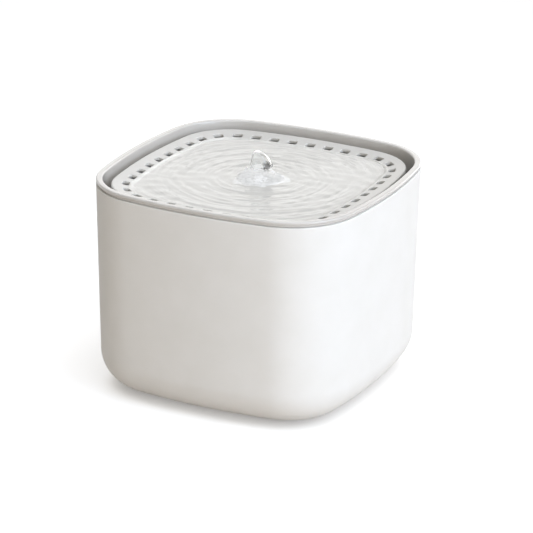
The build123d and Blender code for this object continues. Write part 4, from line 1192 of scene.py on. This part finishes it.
def paper_floor():
    """White paper sweep: matt white that keeps its shadow, lifted to plain white for the camera, and
    lifted less where the object stands close over it: a painted contact shadow, its glow dimmed by
    ambient occlusion."""
    finish, tree, place = finish_tree("white_paper_floor")
    paper = add(tree, "BsdfDiffuse", {"Color": linear("E8E8E8")})
    # painted contact shadow: ambient occlusion near the object dims the floor's glow
    room = add(tree, "AmbientOcclusion", {"Distance": PAINTED_CONTACT_SHADOW_REACH}, samples=8).outputs["AO"]
    lift = ranged(tree, room, 0.3, 0.95, FLOOR_LIFT / 2, FLOOR_LIFT)
    glow = add(tree, "Emission", {"Strength": lift})
    near = add(tree, "AddShader", {0: paper.outputs["BSDF"], 1: glow.outputs["Emission"]})
    far = add(tree, "Emission", {"Strength": 1.0})
    reach = reckon_vector(tree, "LENGTH", place, result="Value")
    away = ranged(tree, reach, SHADOW_REACH, WHITE_REACH)
    seen = mixed_shader(tree, away, near.outputs["Shader"], far.outputs["Emission"])
    bounce = add(tree, "BsdfDiffuse", {"Color": linear(FLOOR_BOUNCE)}).outputs["BSDF"]
    looked_at = shown_to(tree, "Is Camera Ray", "Is Glossy Ray", "Is Transmission Ray")
    add(tree, "OutputMaterial", {"Surface": mixed_shader(tree, looked_at, bounce, seen)})
    return finish


def make_stage():
    """A round pale floor, wide enough for every view."""
    form = Form()
    form.grid(carry([(MM, 0.0), (FLOOR_RADIUS, 0.0)], round_loop(96)), caps=(True, False))
    data = form.mesh("floor")
    if data.polygons[0].normal.z < 0:
        data.flip_normals()
    floor = new_object("floor", data)
    data.materials.append(paper_floor())


def lamp(name, direction, distance, width, strength, colour):
    """A square soft lamp that faces the object. Its strength is what a white card facing it shows."""
    data = bpy.data.lights.new(name, "AREA")
    data.size = width
    data.energy = strength * (math.pi * distance) ** 2
    data.color = linear(colour)[:3]
    toward = Vector(direction).normalized()
    aimed(new_object(name, data), LIGHT_TARGET + toward * distance, toward)


def make_world():
    """Even soft light from all round, plain white where the camera sees it."""
    world = bpy.data.worlds.new("soft_surround")
    bpy.context.scene.world = world
    world.use_nodes = True
    tree = world.node_tree
    tree.nodes.clear()
    light = add(tree, "Background", {"Color": linear(SURROUND_COLOUR), "Strength": SURROUND})
    white = add(tree, "Background", {"Color": linear("FFFFFF"), "Strength": 1.0})
    # what mirrors and clear things see: white walls, and a greyer ceiling over them
    heading = add(tree, "TexCoord").outputs["Generated"]
    walls = add(tree, "ValToRGB", {"Fac": height_of(tree, heading)})
    stops = walls.color_ramp.elements
    for number, (place, shade) in enumerate(CEILING):
        stop = stops[number] if number < 2 else stops.new(place)
        stop.position = place
        stop.color = linear(shade)
    room = add(tree, "Background", {"Color": walls.outputs["Color"], "Strength": 1.0})
    light, white, room = (kind.outputs["Background"] for kind in (light, white, room))
    mirrored = shown_to(tree, "Is Glossy Ray", "Is Transmission Ray")
    around = mixed_shader(tree, mirrored, light, room)
    seen = mixed_shader(tree, shown_to(tree, "Is Camera Ray"), around, white)
    add(tree, "OutputWorld", {"Surface": seen})


make_camera()
make_stage()
make_world()
# level water mirrors the back window to the camera, and none of the other lamps
for name, direction, distance, width, strength, colour in (
    ("overhead", (0, 0, 1), 4.0, 2.6, 0.45, "F0F4FF"),
    ("side_window", (0.93, -0.33, 0.16), 2.5, 1.5, 0.475, "DFEDFF"),
    ("side_high", (0.75, -0.1, 0.65), 3.0, 1.5, 0.27, "DFEDFF"),
    ("front_fill", (0.55, -0.8, 0.3), 3.0, 1.8, 0.28, "FFF8F2"),
    ("back_fill", (0.5, 0.75, 0.45), 3.0, 1.8, 0.12, "FFF0E2"),
    ("back_window", (-0.42, 0.84, 0.34), 3.0, 1.4, 0.05, "FFFBF4"),
    ("back_glint", (-0.05, 0.99, 0.1), 3.0, 0.3, 0.01, "FFFFFF"),
    ("back_low", (0.22, 0.97, 0.06), 3.0, 1.6, 0.22, "FFFAF4"),
):
    lamp(name, direction, distance, width, strength, colour)
bpy.context.scene.view_settings.view_transform = "Standard"
